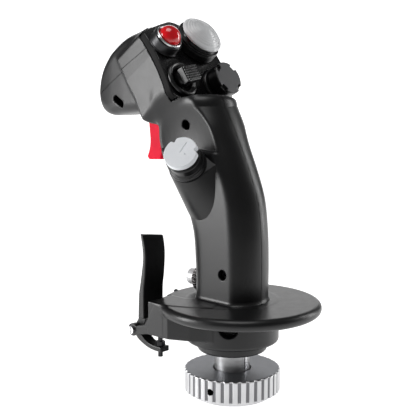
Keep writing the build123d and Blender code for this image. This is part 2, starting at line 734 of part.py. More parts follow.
# ---------------------------------------------------------------- hand rest and bracket
with BuildPart() as base_casting:
    with BuildSketch(Plane.XY.offset(rest_top - rest_thickness)):
        with Locations((0, rest_centre_y)):
            Circle(rest_radius)
    extrude(amount=rest_thickness)
    fillet(base_casting.edges(), rest_thickness / 2 - 0.05)
    with BuildSketch(Plane.XY.offset(hub_bottom)):
        Circle(hub_radius)
    extrude(amount=rest_top - 2 - hub_bottom)
    fillet(base_casting.edges().filter_by(GeomType.CIRCLE).sort_by(Axis.Z)[0], 2.5)
    # bracket: its left face blends back to the hub, its front carries two ears
    with BuildSketch(Plane.XY.offset(bracket_bottom)):
        with BuildLine():
            Polyline((bracket_left, bracket_front), (bracket_left, 16.0), (-35.0, 3.0), (-27.8, -8.3),
                     (-8.0, 0.0),
                     (bracket_right, 19.0), (bracket_right, bracket_front), close=True)
        make_face()
    extrude(amount=rest_top - bracket_bottom)
    add(block(bracket_left - 1, bracket_right + 1.2, bracket_front, 50.0, 50, 62), mode=Mode.SUBTRACT)
    for x0, x1 in ((bracket_left, lug_left - gap), (lug_right + gap, bracket_right)):
        with BuildSketch(Plane.YZ.offset(x0)):
            Polygon((bracket_front - 6, bracket_bottom), (bracket_front - 6, 60.0), (bracket_front, 50.0),
                    (36.0, 45.4), (45.0, 42.8), (48.0, 43.0), (48.0, 36.2), (43.5, 37.8), align=None)
            with Locations(lever_pin):
                Circle(lever_boss_radius)
        extrude(amount=x1 - x0)
    # pocket for the lever's lug and switch between the ears
    add(block(lug_left - gap, lug_right + gap, 20.0, 60.0, 30.0, 52.0), mode=Mode.SUBTRACT)
    add(cylinder_x(lever_pin_radius, bracket_left - 1, bracket_right + 1, *lever_pin), mode=Mode.SUBTRACT)
    # post bore, wiring hole, and the clamp screw's recess
    with Locations((0, 0, hub_bottom - 1)):
        Cylinder(post_radius, post_top - hub_bottom + 1, align=(Align.CENTER, Align.CENTER, Align.MIN),
                 mode=Mode.SUBTRACT)
    with Locations((0, 0, post_top - 1)):
        Cylinder(wire_hole_radius, 20, align=(Align.CENTER, Align.CENTER, Align.MIN), mode=Mode.SUBTRACT)
    recess = Plane(origin=(0, 0, clamp_z), x_dir=(0, 0, 1), z_dir=clamp_direction)
    add(recess.location * Location((0, 0, 27.0)) * Cylinder(clamp_recess_radius, 10, mode=Mode.PRIVATE),
        mode=Mode.SUBTRACT)
    add(recess.location * Location((0, 0, 17.0)) * Cylinder(clamp_screw_radius, 16, mode=Mode.PRIVATE),
        mode=Mode.SUBTRACT)
finish(base_casting, "base_casting")
with BuildPart() as clamp_screw:
    add(recess.location * Location((0, 0, (post_radius + 21.0) / 2)) * Cylinder(
        clamp_screw_radius, 21.0 - post_radius, mode=Mode.PRIVATE))
    with BuildSketch(Plane(recess.location * Location((0, 0, 18.5)))):
        RegularPolygon(1.6, 6)
    extrude(amount=4, mode=Mode.SUBTRACT)
finish(clamp_screw, "clamp_screw")

with BuildPart() as post_bushing:
    with BuildSketch(Plane.XY.offset(step_bottom)):
        Circle(step_radius)
        Circle(post_radius, mode=Mode.SUBTRACT)
    extrude(amount=hub_bottom - step_bottom)
    lowest = post_bushing.edges().filter_by(GeomType.CIRCLE).group_by(Axis.Z)[0]
    chamfer(lowest.sort_by(SortBy.RADIUS)[-1], 1.0)
finish(post_bushing, "post_bushing")

# ---------------------------------------------------------------- post, connector and coupling ring
# the plug is the post's foot below the flange; the flange sits on its shoulder
with BuildPart() as post:
    with BuildSketch():
        Circle(plug_radius)
        Circle(post_bore, mode=Mode.SUBTRACT)
    extrude(amount=post_flange_top - post_flange_thickness)
    with BuildSketch():
        Circle(post_radius)
        Circle(post_bore, mode=Mode.SUBTRACT)
    extrude(amount=post_top)
    # keyway down the side of the post
    way = Location((0, 0, 13.0), (0, 0, keyway_azimuth)) * Location((post_radius, 0, 0)) * Box(
        3.0, 3.0, 18.0, align=(Align.CENTER, Align.CENTER, Align.MIN), mode=Mode.PRIVATE)
    add(way, mode=Mode.SUBTRACT)
finish(post, "post")
with BuildPart() as post_flange:
    with BuildSketch(Plane.XY.offset(post_flange_top - post_flange_thickness)):
        Circle(post_flange_radius)
        Circle(post_radius, mode=Mode.SUBTRACT)
    extrude(amount=post_flange_thickness)
finish(post_flange, "post_flange")
with BuildPart() as post_key:
    way = Location((0, 0, 13.4), (0, 0, keyway_azimuth)) * Location((post_radius - 0.7, 0, 0)) * Box(
        1.5, 2.2, 12.0, align=(Align.CENTER, Align.CENTER, Align.MIN), mode=Mode.PRIVATE)
    add(way)
finish(post_key, "post_key")
with BuildPart() as connector_insert:
    with Locations((0, 0, 2.0)):
        Cylinder(post_bore, 10.0, align=(Align.CENTER, Align.CENTER, Align.MIN))
    with Locations((0, 0, 2.0)):
        with PolarLocations(pin_circle, pin_count, 30, 240):
            Cylinder(pin_radius, 10.0, align=(Align.CENTER, Align.CENTER, Align.MIN), mode=Mode.SUBTRACT)
finish(connector_insert, "connector_insert")
with BuildPart() as connector_pins:
    with Locations((0, 0, 0.6)):
        with PolarLocations(pin_circle, pin_count, 30, 240):
            Cylinder(pin_radius, 13.0, align=(Align.CENTER, Align.CENTER, Align.MIN))
finish(connector_pins, "connector_pins")

with BuildPart() as thrust_washer:
    with BuildSketch(Plane.XY.offset(post_flange_top)):
        Circle(post_flange_radius - 0.2)
        Circle(post_radius + 0.6, mode=Mode.SUBTRACT)
    extrude(amount=washer_thickness)
finish(thrust_washer, "thrust_washer")

with BuildPart() as coupling_ring:
    shelf = post_flange_top + washer_thickness
    add(turned([(thread_radius, 0), (ring_lip_radius, 0), (ring_lip_radius, 2.4), (ring_radius - 1.0, 3.0),
                (ring_radius, 4.0), (ring_radius, ring_top - 1.0), (ring_radius - 1.0, ring_top),
                (ring_hole_radius, ring_top), (ring_hole_radius, shelf), (thread_radius, shelf)], Plane.XY))
    with PolarLocations(ring_radius + 0.35, ring_flutes):
        Cylinder(ring_flute_radius, 60, mode=Mode.SUBTRACT)
    spanner = Plane(origin=(0, 0, 9.6), x_dir=(0, 0, 1), z_dir=spanner_direction)
    add(spanner.location * Location((0, 0, ring_radius - 2.5)) * Cylinder(2.0, 8, mode=Mode.PRIVATE),
        mode=Mode.SUBTRACT)
finish(coupling_ring, "coupling_ring")

# ---------------------------------------------------------------- pinch lever
with BuildPart() as lever:
    with BuildSketch(Plane.YZ.offset(lever_left)):
        with BuildLine():
            Line((43.2, 48.4), (38.0, 48.4))
            Spline((38.0, 48.4), (37.9, 66.0), (36.6, 76.0), (35.8, 88.0), (36.6, 96.0), (38.2, 101.2))
            Line((38.2, 101.2), (40.6, 102.0))
            Spline((40.6, 102.0), (38.9, 94.0), (38.4, 86.0), (40.0, 76.0), (42.4, 64.0), (43.2, 48.4))
        make_face()
    extrude(amount=lever_right - lever_left)
    # lug down to the pin
    with BuildSketch(Plane.YZ.offset(lug_left)):
        with BuildLine():
            Polyline((43.2, 52.0), (38.0, 52.0), (39.5, 47.6), (lever_pin[0] - 3.6, lever_pin[1] - 0.5),
                     (lever_pin[0], lever_pin[1] - 3.6), (lever_pin[0] + 3.6, lever_pin[1]), close=True)
        make_face()
        with Locations(lever_pin):
            Circle(lever_boss_radius - 0.3)
    extrude(amount=lug_width)
    # arm back under the bracket
    with BuildSketch(Plane.YZ.offset(lug_left)):
        with BuildLine():
            Spline((50.6, 38.4), (48.0, 33.8), (40.5, 30.2), (34.0, 28.8), (26.6, 28.6))
            Line((26.6, 28.6), (26.6, 31.8))
            Spline((26.6, 31.8), (34.0, 32.0), (40.0, 33.6), (44.3, 37.4))
            Line((44.3, 37.4), (50.6, 38.4))
        make_face()
    extrude(amount=lug_width)
    add(cylinder_x(lever_pin_radius + 0.05, -50, 0, *lever_pin), mode=Mode.SUBTRACT)
    with Locations((adjuster_x, adjuster_y, 30)):
        Cylinder(adjuster_radius, 20, mode=Mode.SUBTRACT)
finish(lever, "lever")
with BuildPart() as lever_pin_rod:
    add(cylinder_x(lever_pin_radius, bracket_left - 0.2, bracket_right + 0.2, *lever_pin))
    add(cylinder_x(2.5, bracket_left - 1.6, bracket_left, *lever_pin))
    add(block(bracket_left - 2.5, bracket_left - 1.1, lever_pin[0] - 0.4, lever_pin[0] + 0.4,
              lever_pin[1] - 3,
              lever_pin[1] + 3), mode=Mode.SUBTRACT)
finish(lever_pin_rod, "lever_pin")
with BuildPart() as adjuster_screw:
    with Locations((adjuster_x, adjuster_y, 24.8)):
        Cylinder(adjuster_radius, adjuster_top - 24.8, align=(Align.CENTER, Align.CENTER, Align.MIN))
finish(adjuster_screw, "adjuster_screw")
with BuildPart() as adjuster_nut:
    with BuildSketch(Plane(origin=(adjuster_x, adjuster_y, 32.0))):
        RegularPolygon(3.1, 6)
        Circle(adjuster_radius, mode=Mode.SUBTRACT)
    extrude(amount=2.6)
finish(adjuster_nut, "adjuster_nut")
with BuildPart() as lever_switch:
    add(block(lug_left - gap + 0.05, lug_right + gap - 0.05, 21.0, 35.2, 42.6, 51.9))
    with Locations((adjuster_x, adjuster_y, 44.0)):
        Cylinder(plunger_radius + 0.1, 8.0, mode=Mode.SUBTRACT)
finish(lever_switch, "lever_switch")
with BuildPart() as switch_plunger:
    with Locations((adjuster_x, adjuster_y, adjuster_top)):
        Cylinder(plunger_radius, 5.0, align=(Align.CENTER, Align.CENTER, Align.MIN))
finish(switch_plunger, "switch_plunger")

# ---------------------------------------------------------------- fasteners and electrics inside
with BuildPart() as shell_screws_group:
    for y, z, head_x in shell_screws:
        add(cylinder_x(2.8, head_x, head_x + 2.4, y, z))
        add(cylinder_x(1.5, head_x + 2.4, 8.5, y, z))
        drive = Plane.YZ.offset(head_x - 0.5).location * Location((y, z, 0)) * Cylinder(
            1.3, 3.2, mode=Mode.PRIVATE)
        add(drive, mode=Mode.SUBTRACT)
finish(shell_screws_group, "shell_screws")
with BuildPart() as grip_board:
    add(block(-0.8, 0.8, -30, 60, 92.0, 128.0) & body_solid(wall + 0.3))
finish(grip_board, "grip_board")
with BuildPart() as head_board:
    (y, z), n = on_face(3.0, 22.0)
    with BuildSketch(Plane(origin=(4.0, y, z), x_dir=(1, 0, 0), z_dir=(0, n[0], n[1]))):
        Rectangle(34.0, 22.0)
    extrude(amount=1.6)
finish(head_board, "head_board")
with BuildPart() as wire_loom:
    with BuildLine() as route:
        FilletPolyline((0, 2.5, 91.8), (0, 2.5, 68.0), (0, 0, 54.0), (0, 0, 14.0), radius=16.0)
    with BuildSketch(Plane(origin=route.line @ 0, z_dir=route.line % 0)):
        Circle(loom_radius)
    sweep()
finish(wire_loom, "wire_loom")
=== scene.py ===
import json
from itertools import product
from math import acos, asin, atan2, cos, hypot, pi, radians, sin

import bmesh
import bpy
import numpy as np
from mathutils import Matrix, Vector


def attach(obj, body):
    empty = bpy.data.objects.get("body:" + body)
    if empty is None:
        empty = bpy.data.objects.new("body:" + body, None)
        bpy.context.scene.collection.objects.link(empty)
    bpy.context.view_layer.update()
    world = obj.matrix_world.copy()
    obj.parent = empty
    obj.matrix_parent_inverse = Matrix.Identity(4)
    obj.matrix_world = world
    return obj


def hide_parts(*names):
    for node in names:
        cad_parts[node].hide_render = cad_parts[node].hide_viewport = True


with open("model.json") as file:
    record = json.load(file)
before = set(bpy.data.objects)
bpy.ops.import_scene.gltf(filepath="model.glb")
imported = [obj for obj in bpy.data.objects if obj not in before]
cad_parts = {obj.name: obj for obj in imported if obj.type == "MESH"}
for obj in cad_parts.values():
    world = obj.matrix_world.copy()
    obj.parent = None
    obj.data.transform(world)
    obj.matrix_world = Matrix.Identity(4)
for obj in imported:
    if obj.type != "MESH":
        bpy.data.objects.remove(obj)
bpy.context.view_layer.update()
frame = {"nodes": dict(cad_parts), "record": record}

# Visual model of the flight joystick. Lengths are millimetres until a mesh is made, in metres.
MM = 0.001
DETAIL = 1.0      # voxel sizes are multiplied by this
SLOT_OF = {row["node"]: row["material_slot"] for row in frame["record"]["subparts"]}


# ------------------------------------------------------------------ distance fields
# A field takes x, y, z arrays and gives a signed distance, negative inside.
def smooth_min(a, b, k):
    h = np.maximum(k - np.abs(a - b), 0.0) / k
    return np.minimum(a, b) - h * h * k * 0.25


def smooth_max(a, b, k):
    return -smooth_min(-a, -b, k)


def polygon(points, u, v):
    """Distance to a closed polygon in the (u, v) plane."""
    shape = np.broadcast(u, v).shape
    nearest = np.full(shape, 1e9, np.float32)
    inside = np.zeros(shape, bool)
    for (au, av), (bu, bv) in zip(points, points[1:] + points[:1]):
        eu, ev = bu - au, bv - av
        wu, wv = u - au, v - av
        t = np.clip((wu * eu + wv * ev) / (eu * eu + ev * ev), 0.0, 1.0)
        nearest = np.minimum(nearest, (wu - eu * t) ** 2 + (wv - ev * t) ** 2)
        if av != bv:
            inside ^= ((av > v) != (bv > v)) & (u < eu * (v - av) / ev + au)
    return np.where(inside, -1.0, 1.0) * np.sqrt(nearest)


def slab(u, low, high):
    return np.abs(u - (low + high) / 2) - (high - low) / 2


def cuboid(x, y, z, low, high, r=0.0):
    """Box between two corners, its edges rounded by r."""
    d = [slab(u, a, b) + r for u, a, b in zip((x, y, z), low, high)]
    outside = np.sqrt(sum(np.maximum(q, 0.0) ** 2 for q in d))
    return outside + np.minimum(np.maximum(np.maximum(d[0], d[1]), d[2]), 0.0) - r


def extruded(flat, thick, r=0.0):
    """A flat field carried through a thickness field, its edges rounded by r."""
    a, b = flat + r, thick + r
    return np.minimum(np.maximum(a, b), 0.0) + np.hypot(np.maximum(a, 0.0), np.maximum(b, 0.0)) - r


def rod(x, y, z, start, end, radius):
    """Cylinder between two points."""
    start, end = np.array(start, float), np.array(end, float)
    length = np.linalg.norm(end - start)
    n = (end - start) / length
    u, v, w = x - start[0], y - start[1], z - start[2]
    along = u * n[0] + v * n[1] + w * n[2]
    across = np.sqrt(np.maximum(u * u + v * v + w * w - along * along, 0.0))
    return np.maximum(across - radius, slab(along, 0.0, length))


def smooth_curve(points, steps=5, closed=False):
    """Catmull-Rom curve through points, as a list of points."""
    count = len(points)
    spans = count if closed else count - 1

    def at(i):
        return points[i % count] if closed else points[min(max(i, 0), count - 1)]
    made = []
    for i in range(spans):
        a, b, c, d = (np.array(at(i + k), float) for k in (-1, 0, 1, 2))
        for j in range(steps):
            t = j / steps
            bend, twist = 2 * a - 5 * b + 4 * c - d, 3 * b - a - 3 * c + d
            made.append(tuple(0.5 * (2 * b + (c - a) * t + bend * t * t + twist * t ** 3)))
    if not closed:
        made.append(tuple(points[-1]))
    return made


def along_table(rows, column, at):
    """Smooth value of one column of a table whose first column rises."""
    keys = np.array([row[0] for row in rows], float)
    values = np.array([row[column] for row in rows], float)
    slopes = np.gradient(values, keys)
    at = np.clip(at, keys[0], keys[-1])
    i = np.clip(np.searchsorted(keys, at) - 1, 0, len(keys) - 2)
    span = keys[i + 1] - keys[i]
    t = (at - keys[i]) / span
    t2, t3 = t * t, t * t * t
    return ((2 * t3 - 3 * t2 + 1) * values[i] + (t3 - 2 * t2 + t) * span * slopes[i]
            + (3 * t2 - 2 * t3) * values[i + 1] + (t3 - t2) * span * slopes[i + 1])


# ------------------------------------------------------------------ meshes
def surface_net(field, low, high, voxel):
    """Points, quads and normals of a field's zero surface, with one point in each crossed cell."""
    voxel *= DETAIL
    axes = [np.arange(a - 2 * voxel, b + 3 * voxel, voxel, dtype=np.float32) for a, b in zip(low, high)]
    origin = np.array([a[0] for a in axes])
    values = field(axes[0][:, None, None], axes[1][None, :, None], axes[2][None, None, :])
    values = np.broadcast_to(values, tuple(len(a) for a in axes))
    inside = values < 0
    cells = [len(a) - 1 for a in axes]
    corners = np.zeros(cells, np.uint8)
    for i, j, k in product((0, 1), repeat=3):
        corners += inside[i:i + cells[0], j:j + cells[1], k:k + cells[2]]
    mixed = (corners > 0) & (corners < 8)
    where = np.argwhere(mixed)
    number = np.full(cells, -1, np.int64)
    number[mixed] = np.arange(len(where))
    total, count = np.zeros((len(where), 3)), np.zeros(len(where))
    for axis in range(3):
        step = np.eye(3, dtype=int)[axis]
        for corner in product((0, 1), repeat=3):
            if corner[axis]:
                continue
            a, b = where + corner, where + corner + step
            va, vb = values[tuple(a.T)], values[tuple(b.T)]
            crossed = (va < 0) != (vb < 0)
            t = va[crossed] / (va[crossed] - vb[crossed])
            total[crossed] += np.array(corner) + step * t[:, None]
            count[crossed] += 1
    points = origin + (where + total / count[:, None]) * voxel
    quads = []
    for axis in range(3):
        u, v = (axis + 1) % 3, (axis + 2) % 3
        first = [slice(None)] * 3
        second = [slice(None)] * 3
        first[axis], second[axis] = slice(None, -1), slice(1, None)
        a, b = inside[tuple(first)], inside[tuple(second)]
        edge = np.argwhere(a != b)
        edge = edge[(edge[:, u] > 0) & (edge[:, v] > 0) & (edge[:, u] < cells[u]) & (edge[:, v] < cells[v])]
        leaving = a[tuple(edge.T)]
        eu, ev = np.eye(3, dtype=int)[u], np.eye(3, dtype=int)[v]
        ring = [number[tuple((edge - s).T)] for s in (0 * eu, eu, eu + ev, ev)]
        quad = np.stack(ring, 1)
        quad[~leaving] = quad[~leaving][:, ::-1]
        quads.append(quad)
    points, normals = onto_surface(field, points, voxel)
    return points, np.concatenate(quads), normals


def slope_of(field, points, step):
    """Field value and gradient at a list of points."""
    x, y, z = points.T
    value = field(x, y, z)
    slope = np.stack([
        field(x + step, y, z) - field(x - step, y, z),
        field(x, y + step, z) - field(x, y - step, z),
        field(x, y, z + step) - field(x, y, z - step)], 1) / (2 * step)
    return value, slope


def onto_surface(field, points, voxel):
    """The points moved onto the field's zero surface, and the surface's normals there."""
    for _ in range(3):
        value, slope = slope_of(field, points, 0.12 * voxel)
        size = np.maximum((slope ** 2).sum(1), 0.05)
        move = -slope * (value / size)[:, None]
        length = np.maximum(np.linalg.norm(move, axis=1), 1e-9)
        points = points + move * np.minimum(1.0, 0.4 * voxel / length)[:, None]
    slope = slope_of(field, points, 0.3 * voxel)[1]
    return points, slope / np.maximum(np.linalg.norm(slope, axis=1), 1e-9)[:, None]


def new_object(name, points, faces, materials, face_material=None, normals=None, place=Matrix()):
    """Mesh object from points in millimetres, in the row frame or in a local frame."""
    mesh = bpy.data.meshes.new(name)
    mesh.from_pydata([tuple(p) for p in points], [], [tuple(f) for f in faces])
    for material in materials:
        mesh.materials.append(material)
    if face_material is not None:
        mesh.polygons.foreach_set("material_index", np.asarray(face_material, np.int32))
    mesh.polygons.foreach_set("use_smooth", np.ones(len(mesh.polygons), bool))
    if normals is not None:
        mesh.normals_split_custom_set_from_vertices([tuple(n) for n in normals])
    mesh.transform(Matrix.Scale(MM, 4) @ place)
    obj = bpy.data.objects.new(name, mesh)
    bpy.context.scene.collection.objects.link(obj)
    return obj


def stands_for(obj, body, *nodes):
    """The piece rides on a body and stands for CAD nodes, which it hides."""
    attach(obj, body)
    if nodes:
        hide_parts(*nodes)
    return obj


def solid(name, field, low, high, voxel, materials, body, nodes, place=Matrix(), pick=None):
    """Piece made from a distance field. pick gives each face's material from its middle and normal."""
    points, quads, normals = surface_net(field, low, high, voxel)
    face_material = None
    if pick:
        face_material = pick(points[quads].mean(1), normals[quads].mean(1))
    obj = new_object(name, points, quads, materials, face_material, normals, place)
    return stands_for(obj, body, *nodes)


def rounded(profile, radius, steps=3):
    """Open polyline with its inner corners rounded."""
    made = [np.array(profile[0], float)]
    for a, b, c in zip(profile, profile[1:], profile[2:]):
        a, b, c = (np.array(p, float) for p in (a, b, c))
        reach = min(radius, 0.45 * np.linalg.norm(b - a), 0.45 * np.linalg.norm(c - b))
        start = b + (a - b) / np.linalg.norm(a - b) * reach
        end = b + (c - b) / np.linalg.norm(c - b) * reach
        for t in np.linspace(0, 1, steps + 1):
            made.append((1 - t) ** 2 * start + 2 * t * (1 - t) * b + t * t * end)
    made.append(np.array(profile[-1], float))
    return np.array(made)


def turned(name, profile, place, material, body, nodes, edge=0.35, segments=96, closed=False):
    """Piece turned about the place's z axis from (radius, height) points; closed joins the ends."""
    if closed:
        loop = [((profile[0][0] + profile[-1][0]) / 2, (profile[0][1] + profile[-1][1]) / 2)]
        line = rounded(loop + list(profile) + loop, edge)[:-1]
    else:
        line = rounded(profile, edge)
    angles = np.arange(segments) * 2 * pi / segments
    rows = len(line)
    points = np.zeros((rows, segments, 3))
    points[:, :, 0] = line[:, :1] * np.cos(angles)
    points[:, :, 1] = line[:, :1] * np.sin(angles)
    points[:, :, 2] = line[:, 1:]
    number = np.arange(rows * segments).reshape(rows, segments)
    for end in (0, rows - 1):
        if not closed and line[end, 0] < 1e-6:
            number[end, :] = number[end, 0]
    upper = np.roll(number, -1, 0) if closed else number[1:]
    lower = number if closed else number[:-1]
    faces = []
    for low_row, high_row in zip(lower, upper):
        for i in range(segments):
            j = (i + 1) % segments
            ring = dict.fromkeys((low_row[i], low_row[j], high_row[j], high_row[i]))
            faces.append(tuple(ring))
    used = np.unique(number)
    renumber = {old: new for new, old in enumerate(used)}
    faces = [tuple(renumber[i] for i in f) for f in faces]
    points = points.reshape(-1, 3)[used]
    obj = new_object(name, points, faces, [material], place=place)
    facing_out(obj)
    obj.modifiers.new("weighted", "WEIGHTED_NORMAL").keep_sharp = True
    return stands_for(obj, body, *nodes)


def facing_out(obj):
    """Turns a closed mesh's faces so that it holds a positive volume."""
    mesh = obj.data
    mesh.calc_loop_triangles()
    volume = sum(mesh.vertices[a].co.dot(mesh.vertices[b].co.cross(mesh.vertices[c].co))
                 for a, b, c in (t.vertices for t in mesh.loop_triangles))
    if volume < 0:
        mesh.flip_normals()


# ------------------------------------------------------------------ materials
def shader(name, colour, roughness, metallic=0.0, coat=0.0, grain=0.0, grain_scale=900.0,
           shade=0.06, marks=0.02, stretch=(1, 1, 1), specular=0.5):
    """Principled material whose colour, roughness and bump vary at the object's own scale."""
    material = bpy.data.materials.new(name)
    material.use_nodes = True
    nodes, links = material.node_tree.nodes, material.node_tree.links
    surface = nodes["Principled BSDF"]
    surface.inputs["Metallic"].default_value = metallic
    surface.inputs["Coat Weight"].default_value = coat
    surface.inputs["Coat Roughness"].default_value = 0.12
    surface.inputs["Specular IOR Level"].default_value = specular
    place = nodes.new("ShaderNodeTexCoord")
    mapping = nodes.new("ShaderNodeMapping")
    mapping.inputs["Scale"].default_value = stretch
    links.new(place.outputs["Object"], mapping.inputs["Vector"])

    def noise(scale, detail):
        made = nodes.new("ShaderNodeTexNoise")
        made.inputs["Scale"].default_value = scale
        made.inputs["Detail"].default_value = detail
        links.new(mapping.outputs["Vector"], made.inputs["Vector"])
        return made.outputs["Fac"]

    def ramp(source, low, high, from_=0.3, to=0.7):
        made = nodes.new("ShaderNodeMapRange")
        for socket, value in zip(("From Min", "From Max", "To Min", "To Max"), (from_, to, low, high)):
            made.inputs[socket].default_value = value
        links.new(source, made.inputs["Value"])
        return made.outputs["Result"]
    clouds, fine = noise(60.0, 3.0), noise(grain_scale, 2.0)
    mix = nodes.new("ShaderNodeMix")
    mix.data_type = "RGBA"
    mix.inputs["A"].default_value = [*(c * (1 - shade) for c in colour), 1]
    mix.inputs["B"].default_value = [*(min(1, c * (1 + shade)) for c in colour), 1]
    links.new(ramp(clouds, 0.0, 1.0), mix.inputs["Factor"])
    links.new(mix.outputs["Result"], surface.inputs["Base Color"])
    links.new(ramp(noise(220.0, 4.0), roughness - marks, roughness + marks), surface.inputs["Roughness"])
    if grain:
        bump = nodes.new("ShaderNodeBump")
        bump.inputs["Strength"].default_value = grain
        bump.inputs["Distance"].default_value = 0.0001
        links.new(fine, bump.inputs["Height"])
        links.new(bump.outputs["Normal"], surface.inputs["Normal"])
    return material


BODY = shader("satin_black", (0.006, 0.006, 0.0065), 0.36, grain=0.12, grain_scale=1600)
PLATE = shader("gloss_black", (0.006, 0.006, 0.0065), 0.27, coat=0.1, grain=0.08, grain_scale=1400)
CAP = shader("cap_black", (0.006, 0.006, 0.0065), 0.30, coat=0.1, grain=0.15, grain_scale=1800)
# lighter grey given to the castle cap's upward top faces
MATTE = shader("grey_top_face", (0.05, 0.05, 0.054), 0.45, grain=0.3, grain_scale=1500)
SILVER = shader("machined_aluminium", (0.80, 0.80, 0.81), 0.28, metallic=1.0, grain=0.35, grain_scale=1200,
                stretch=(1, 1, 6))
ANODISED = shader("dark_anodised", (0.16, 0.165, 0.18), 0.40, metallic=0.85, grain=0.5, grain_scale=1500)
STEEL = shader("bright_steel", (0.72, 0.72, 0.73), 0.22, metallic=1.0, grain=0.2, grain_scale=1500)
BLACK_OXIDE = shader("black_oxide", (0.03, 0.03, 0.032), 0.32, metallic=0.7, grain=0.3, grain_scale=1500)
PALE = shader("pale_plastic", (0.78, 0.79, 0.80), 0.36, coat=0.15, grain=0.15, shade=0.04)
WHITE = shader("white_plastic", (0.78, 0.80, 0.83), 0.40, grain=0.15, shade=0.03)
RED = shader("gloss_red", (0.72, 0.004, 0.010), 0.12, coat=0.8, grain=0.05, shade=0.08)
TRIGGER_RED = shader("trigger_red", (0.74, 0.003, 0.03), 0.5, grain=0.12, shade=0.08, specular=0.1)
SILVER_CAP = shader("silver_cap", (0.74, 0.74, 0.75), 0.34, metallic=0.2, grain=0.1)
RING_SIDE = shader("ring_silver", (0.62, 0.62, 0.63), 0.38, metallic=1.0, grain=0.25, grain_scale=1200)
FLUTE_GREY = shader("flute_grey", (0.20, 0.20, 0.21), 0.45, metallic=0.9, grain=0.25, grain_scale=1200)
POST_SILVER = shader("brushed_silver", (0.52, 0.52, 0.53), 0.42, metallic=1.0, grain=0.4, grain_scale=900,
                     shade=0.15, stretch=(1, 1, 6))
NUT_DARK = shader("nut_dark", (0.09, 0.085, 0.085), 0.32, metallic=0.9, grain=0.2)
# painted shade: darker, duller black for the face plate's left side, standing in for the dark reflection
# there
PLATE_SIDE_PAINTED_SHADE = shader("plate_side_painted_shade", (0.004, 0.004, 0.004), 0.6, grain=0.1, specular=0.12)
SWITCH = shader("switch_black", (0.03, 0.03, 0.03), 0.5, grain=0.2)
BRASS = shader("contact_brass", (0.8, 0.6, 0.25), 0.25, metallic=1.0, grain=0.2)
BOARD = shader("board_green", (0.02, 0.15, 0.07), 0.35, coat=0.3, grain=0.2, grain_scale=600)
LOOM = shader("loom_black", (0.02, 0.02, 0.02), 0.55, grain=0.5, grain_scale=500)
NYLON = shader("washer_nylon", (0.7, 0.69, 0.65), 0.45, grain=0.15)
# painted shade: flat black for the inside of the ring's spanner hole
HOLE_PAINTED_SHADE = shader("hole_painted_shade", (0.004, 0.004, 0.004), 0.7, grain=0.1)

NODE_MATERIAL = {
    "body_black": BODY, "shell_black": BODY, "plate_black": PLATE, "cap_black": CAP,
    "switch_black": SWITCH, "bright_metal": STEEL, "dark_metal": BLACK_OXIDE, "spring_steel": STEEL,
    "aluminium": SILVER, "contact_brass": BRASS, "board_green": BOARD, "loom_black": LOOM,
    "pale_plastic": PALE, "red_plastic": RED, "white_plastic": WHITE, "silver_plastic": SILVER_CAP,
    "trigger_red": TRIGGER_RED, "washer_nylon": NYLON}
for node, obj in frame["nodes"].items():
    obj.data.materials.clear()
    obj.data.materials.append(NODE_MATERIAL[SLOT_OF[node]])

# ------------------------------------------------------------------ the face's arc and local frames
FACE_LOW, FACE_HIGH, FACE_RADIUS = (31.0, 183.9), (59.2, 226.3), 105.0
PLATE_THICKNESS = 5.0
CHORD = hypot(FACE_HIGH[0] - FACE_LOW[0], FACE_HIGH[1] - FACE_LOW[1])
UP = ((FACE_HIGH[0] - FACE_LOW[0]) / CHORD, (FACE_HIGH[1] - FACE_LOW[1]) / CHORD)
OUT = (-UP[1], UP[0])
SAGITTA = FACE_RADIUS * (1 - cos(asin(CHORD / 2 / FACE_RADIUS)))
FACE_CENTRE = [(FACE_LOW[i] + FACE_HIGH[i]) / 2 + OUT[i] * (SAGITTA - FACE_RADIUS) for i in (0, 1)]


def local(origin, x_axis, z_axis):
    """Frame with its z along z_axis and its x as near x_axis as it can be."""
    z = Vector(z_axis).normalized()
    x = Vector(x_axis)
    x = (x - z * x.dot(z)).normalized()
    return Matrix.Translation(Vector(origin)) @ Matrix((x, z.cross(x), z)).transposed().to_4x4()


def on_face(spot):
    """Frame on the face at (x, arc position from its middle)."""
    a = spot[1] / FACE_RADIUS
    n = [OUT[i] * cos(a) + UP[i] * sin(a) for i in (0, 1)]
    return local((spot[0], FACE_CENTRE[0] + n[0] * FACE_RADIUS, FACE_CENTRE[1] + n[1] * FACE_RADIUS),
                 (1, 0, 0), (0, n[0], n[1]))


def arc_place(y, z):
    """Arc position and height above the face of points in the YZ plane."""
    v, w = y - FACE_CENTRE[0], z - FACE_CENTRE[1]
    along = FACE_RADIUS * np.arctan2(v * UP[0] + w * UP[1], v * OUT[0] + w * OUT[1])
    return along, np.hypot(v, w) - FACE_RADIUS


TRIM, RED_SPOT = on_face((19.0, 14.0)), on_face((-9.7, 12.8))
RIBBED, CASTLE = on_face((-7.4, -13.0)), on_face((22.6, -16.8))
WHEEL = local((-24.0, 14.7, 144.6), (0.388, -0.9215, 0.0), (-0.76, -0.32, 0.565))
FRONT = local((0, 23.4, 70.0), (-1, 0, 0), (0, 1, 0))

# ------------------------------------------------------------------ grip and head
WALL = 2.5
SECTIONS = [        # height, centre x, half width, rear apex, rear crease, flat's front edge, front apex
    (61.0, 0.0, 17.0, -22.8, -13.5, 13.6, 23.2),
    (85.0, 0.0, 17.0, -23.3, -13.0, 14.2, 23.8),
    (106.0, 0.0, 17.0, -22.4, -12.0, 16.8, 26.5),
    (125.0, 0.0, 17.0, -19.5, -9.3, 25.0, 35.5),
    (142.0, 0.0, 17.0, -13.0, -3.2, 40.0, 48.5),
    (156.0, 0.5, 17.5, -6.5, 4.5, 46.5, 54.0),
    (168.0, 1.5, 18.5, -0.2, 8.7, 47.5, 54.0),
    (179.5, 3.0, 20.0, 6.5, 19.0, 47.5, 53.5),
]


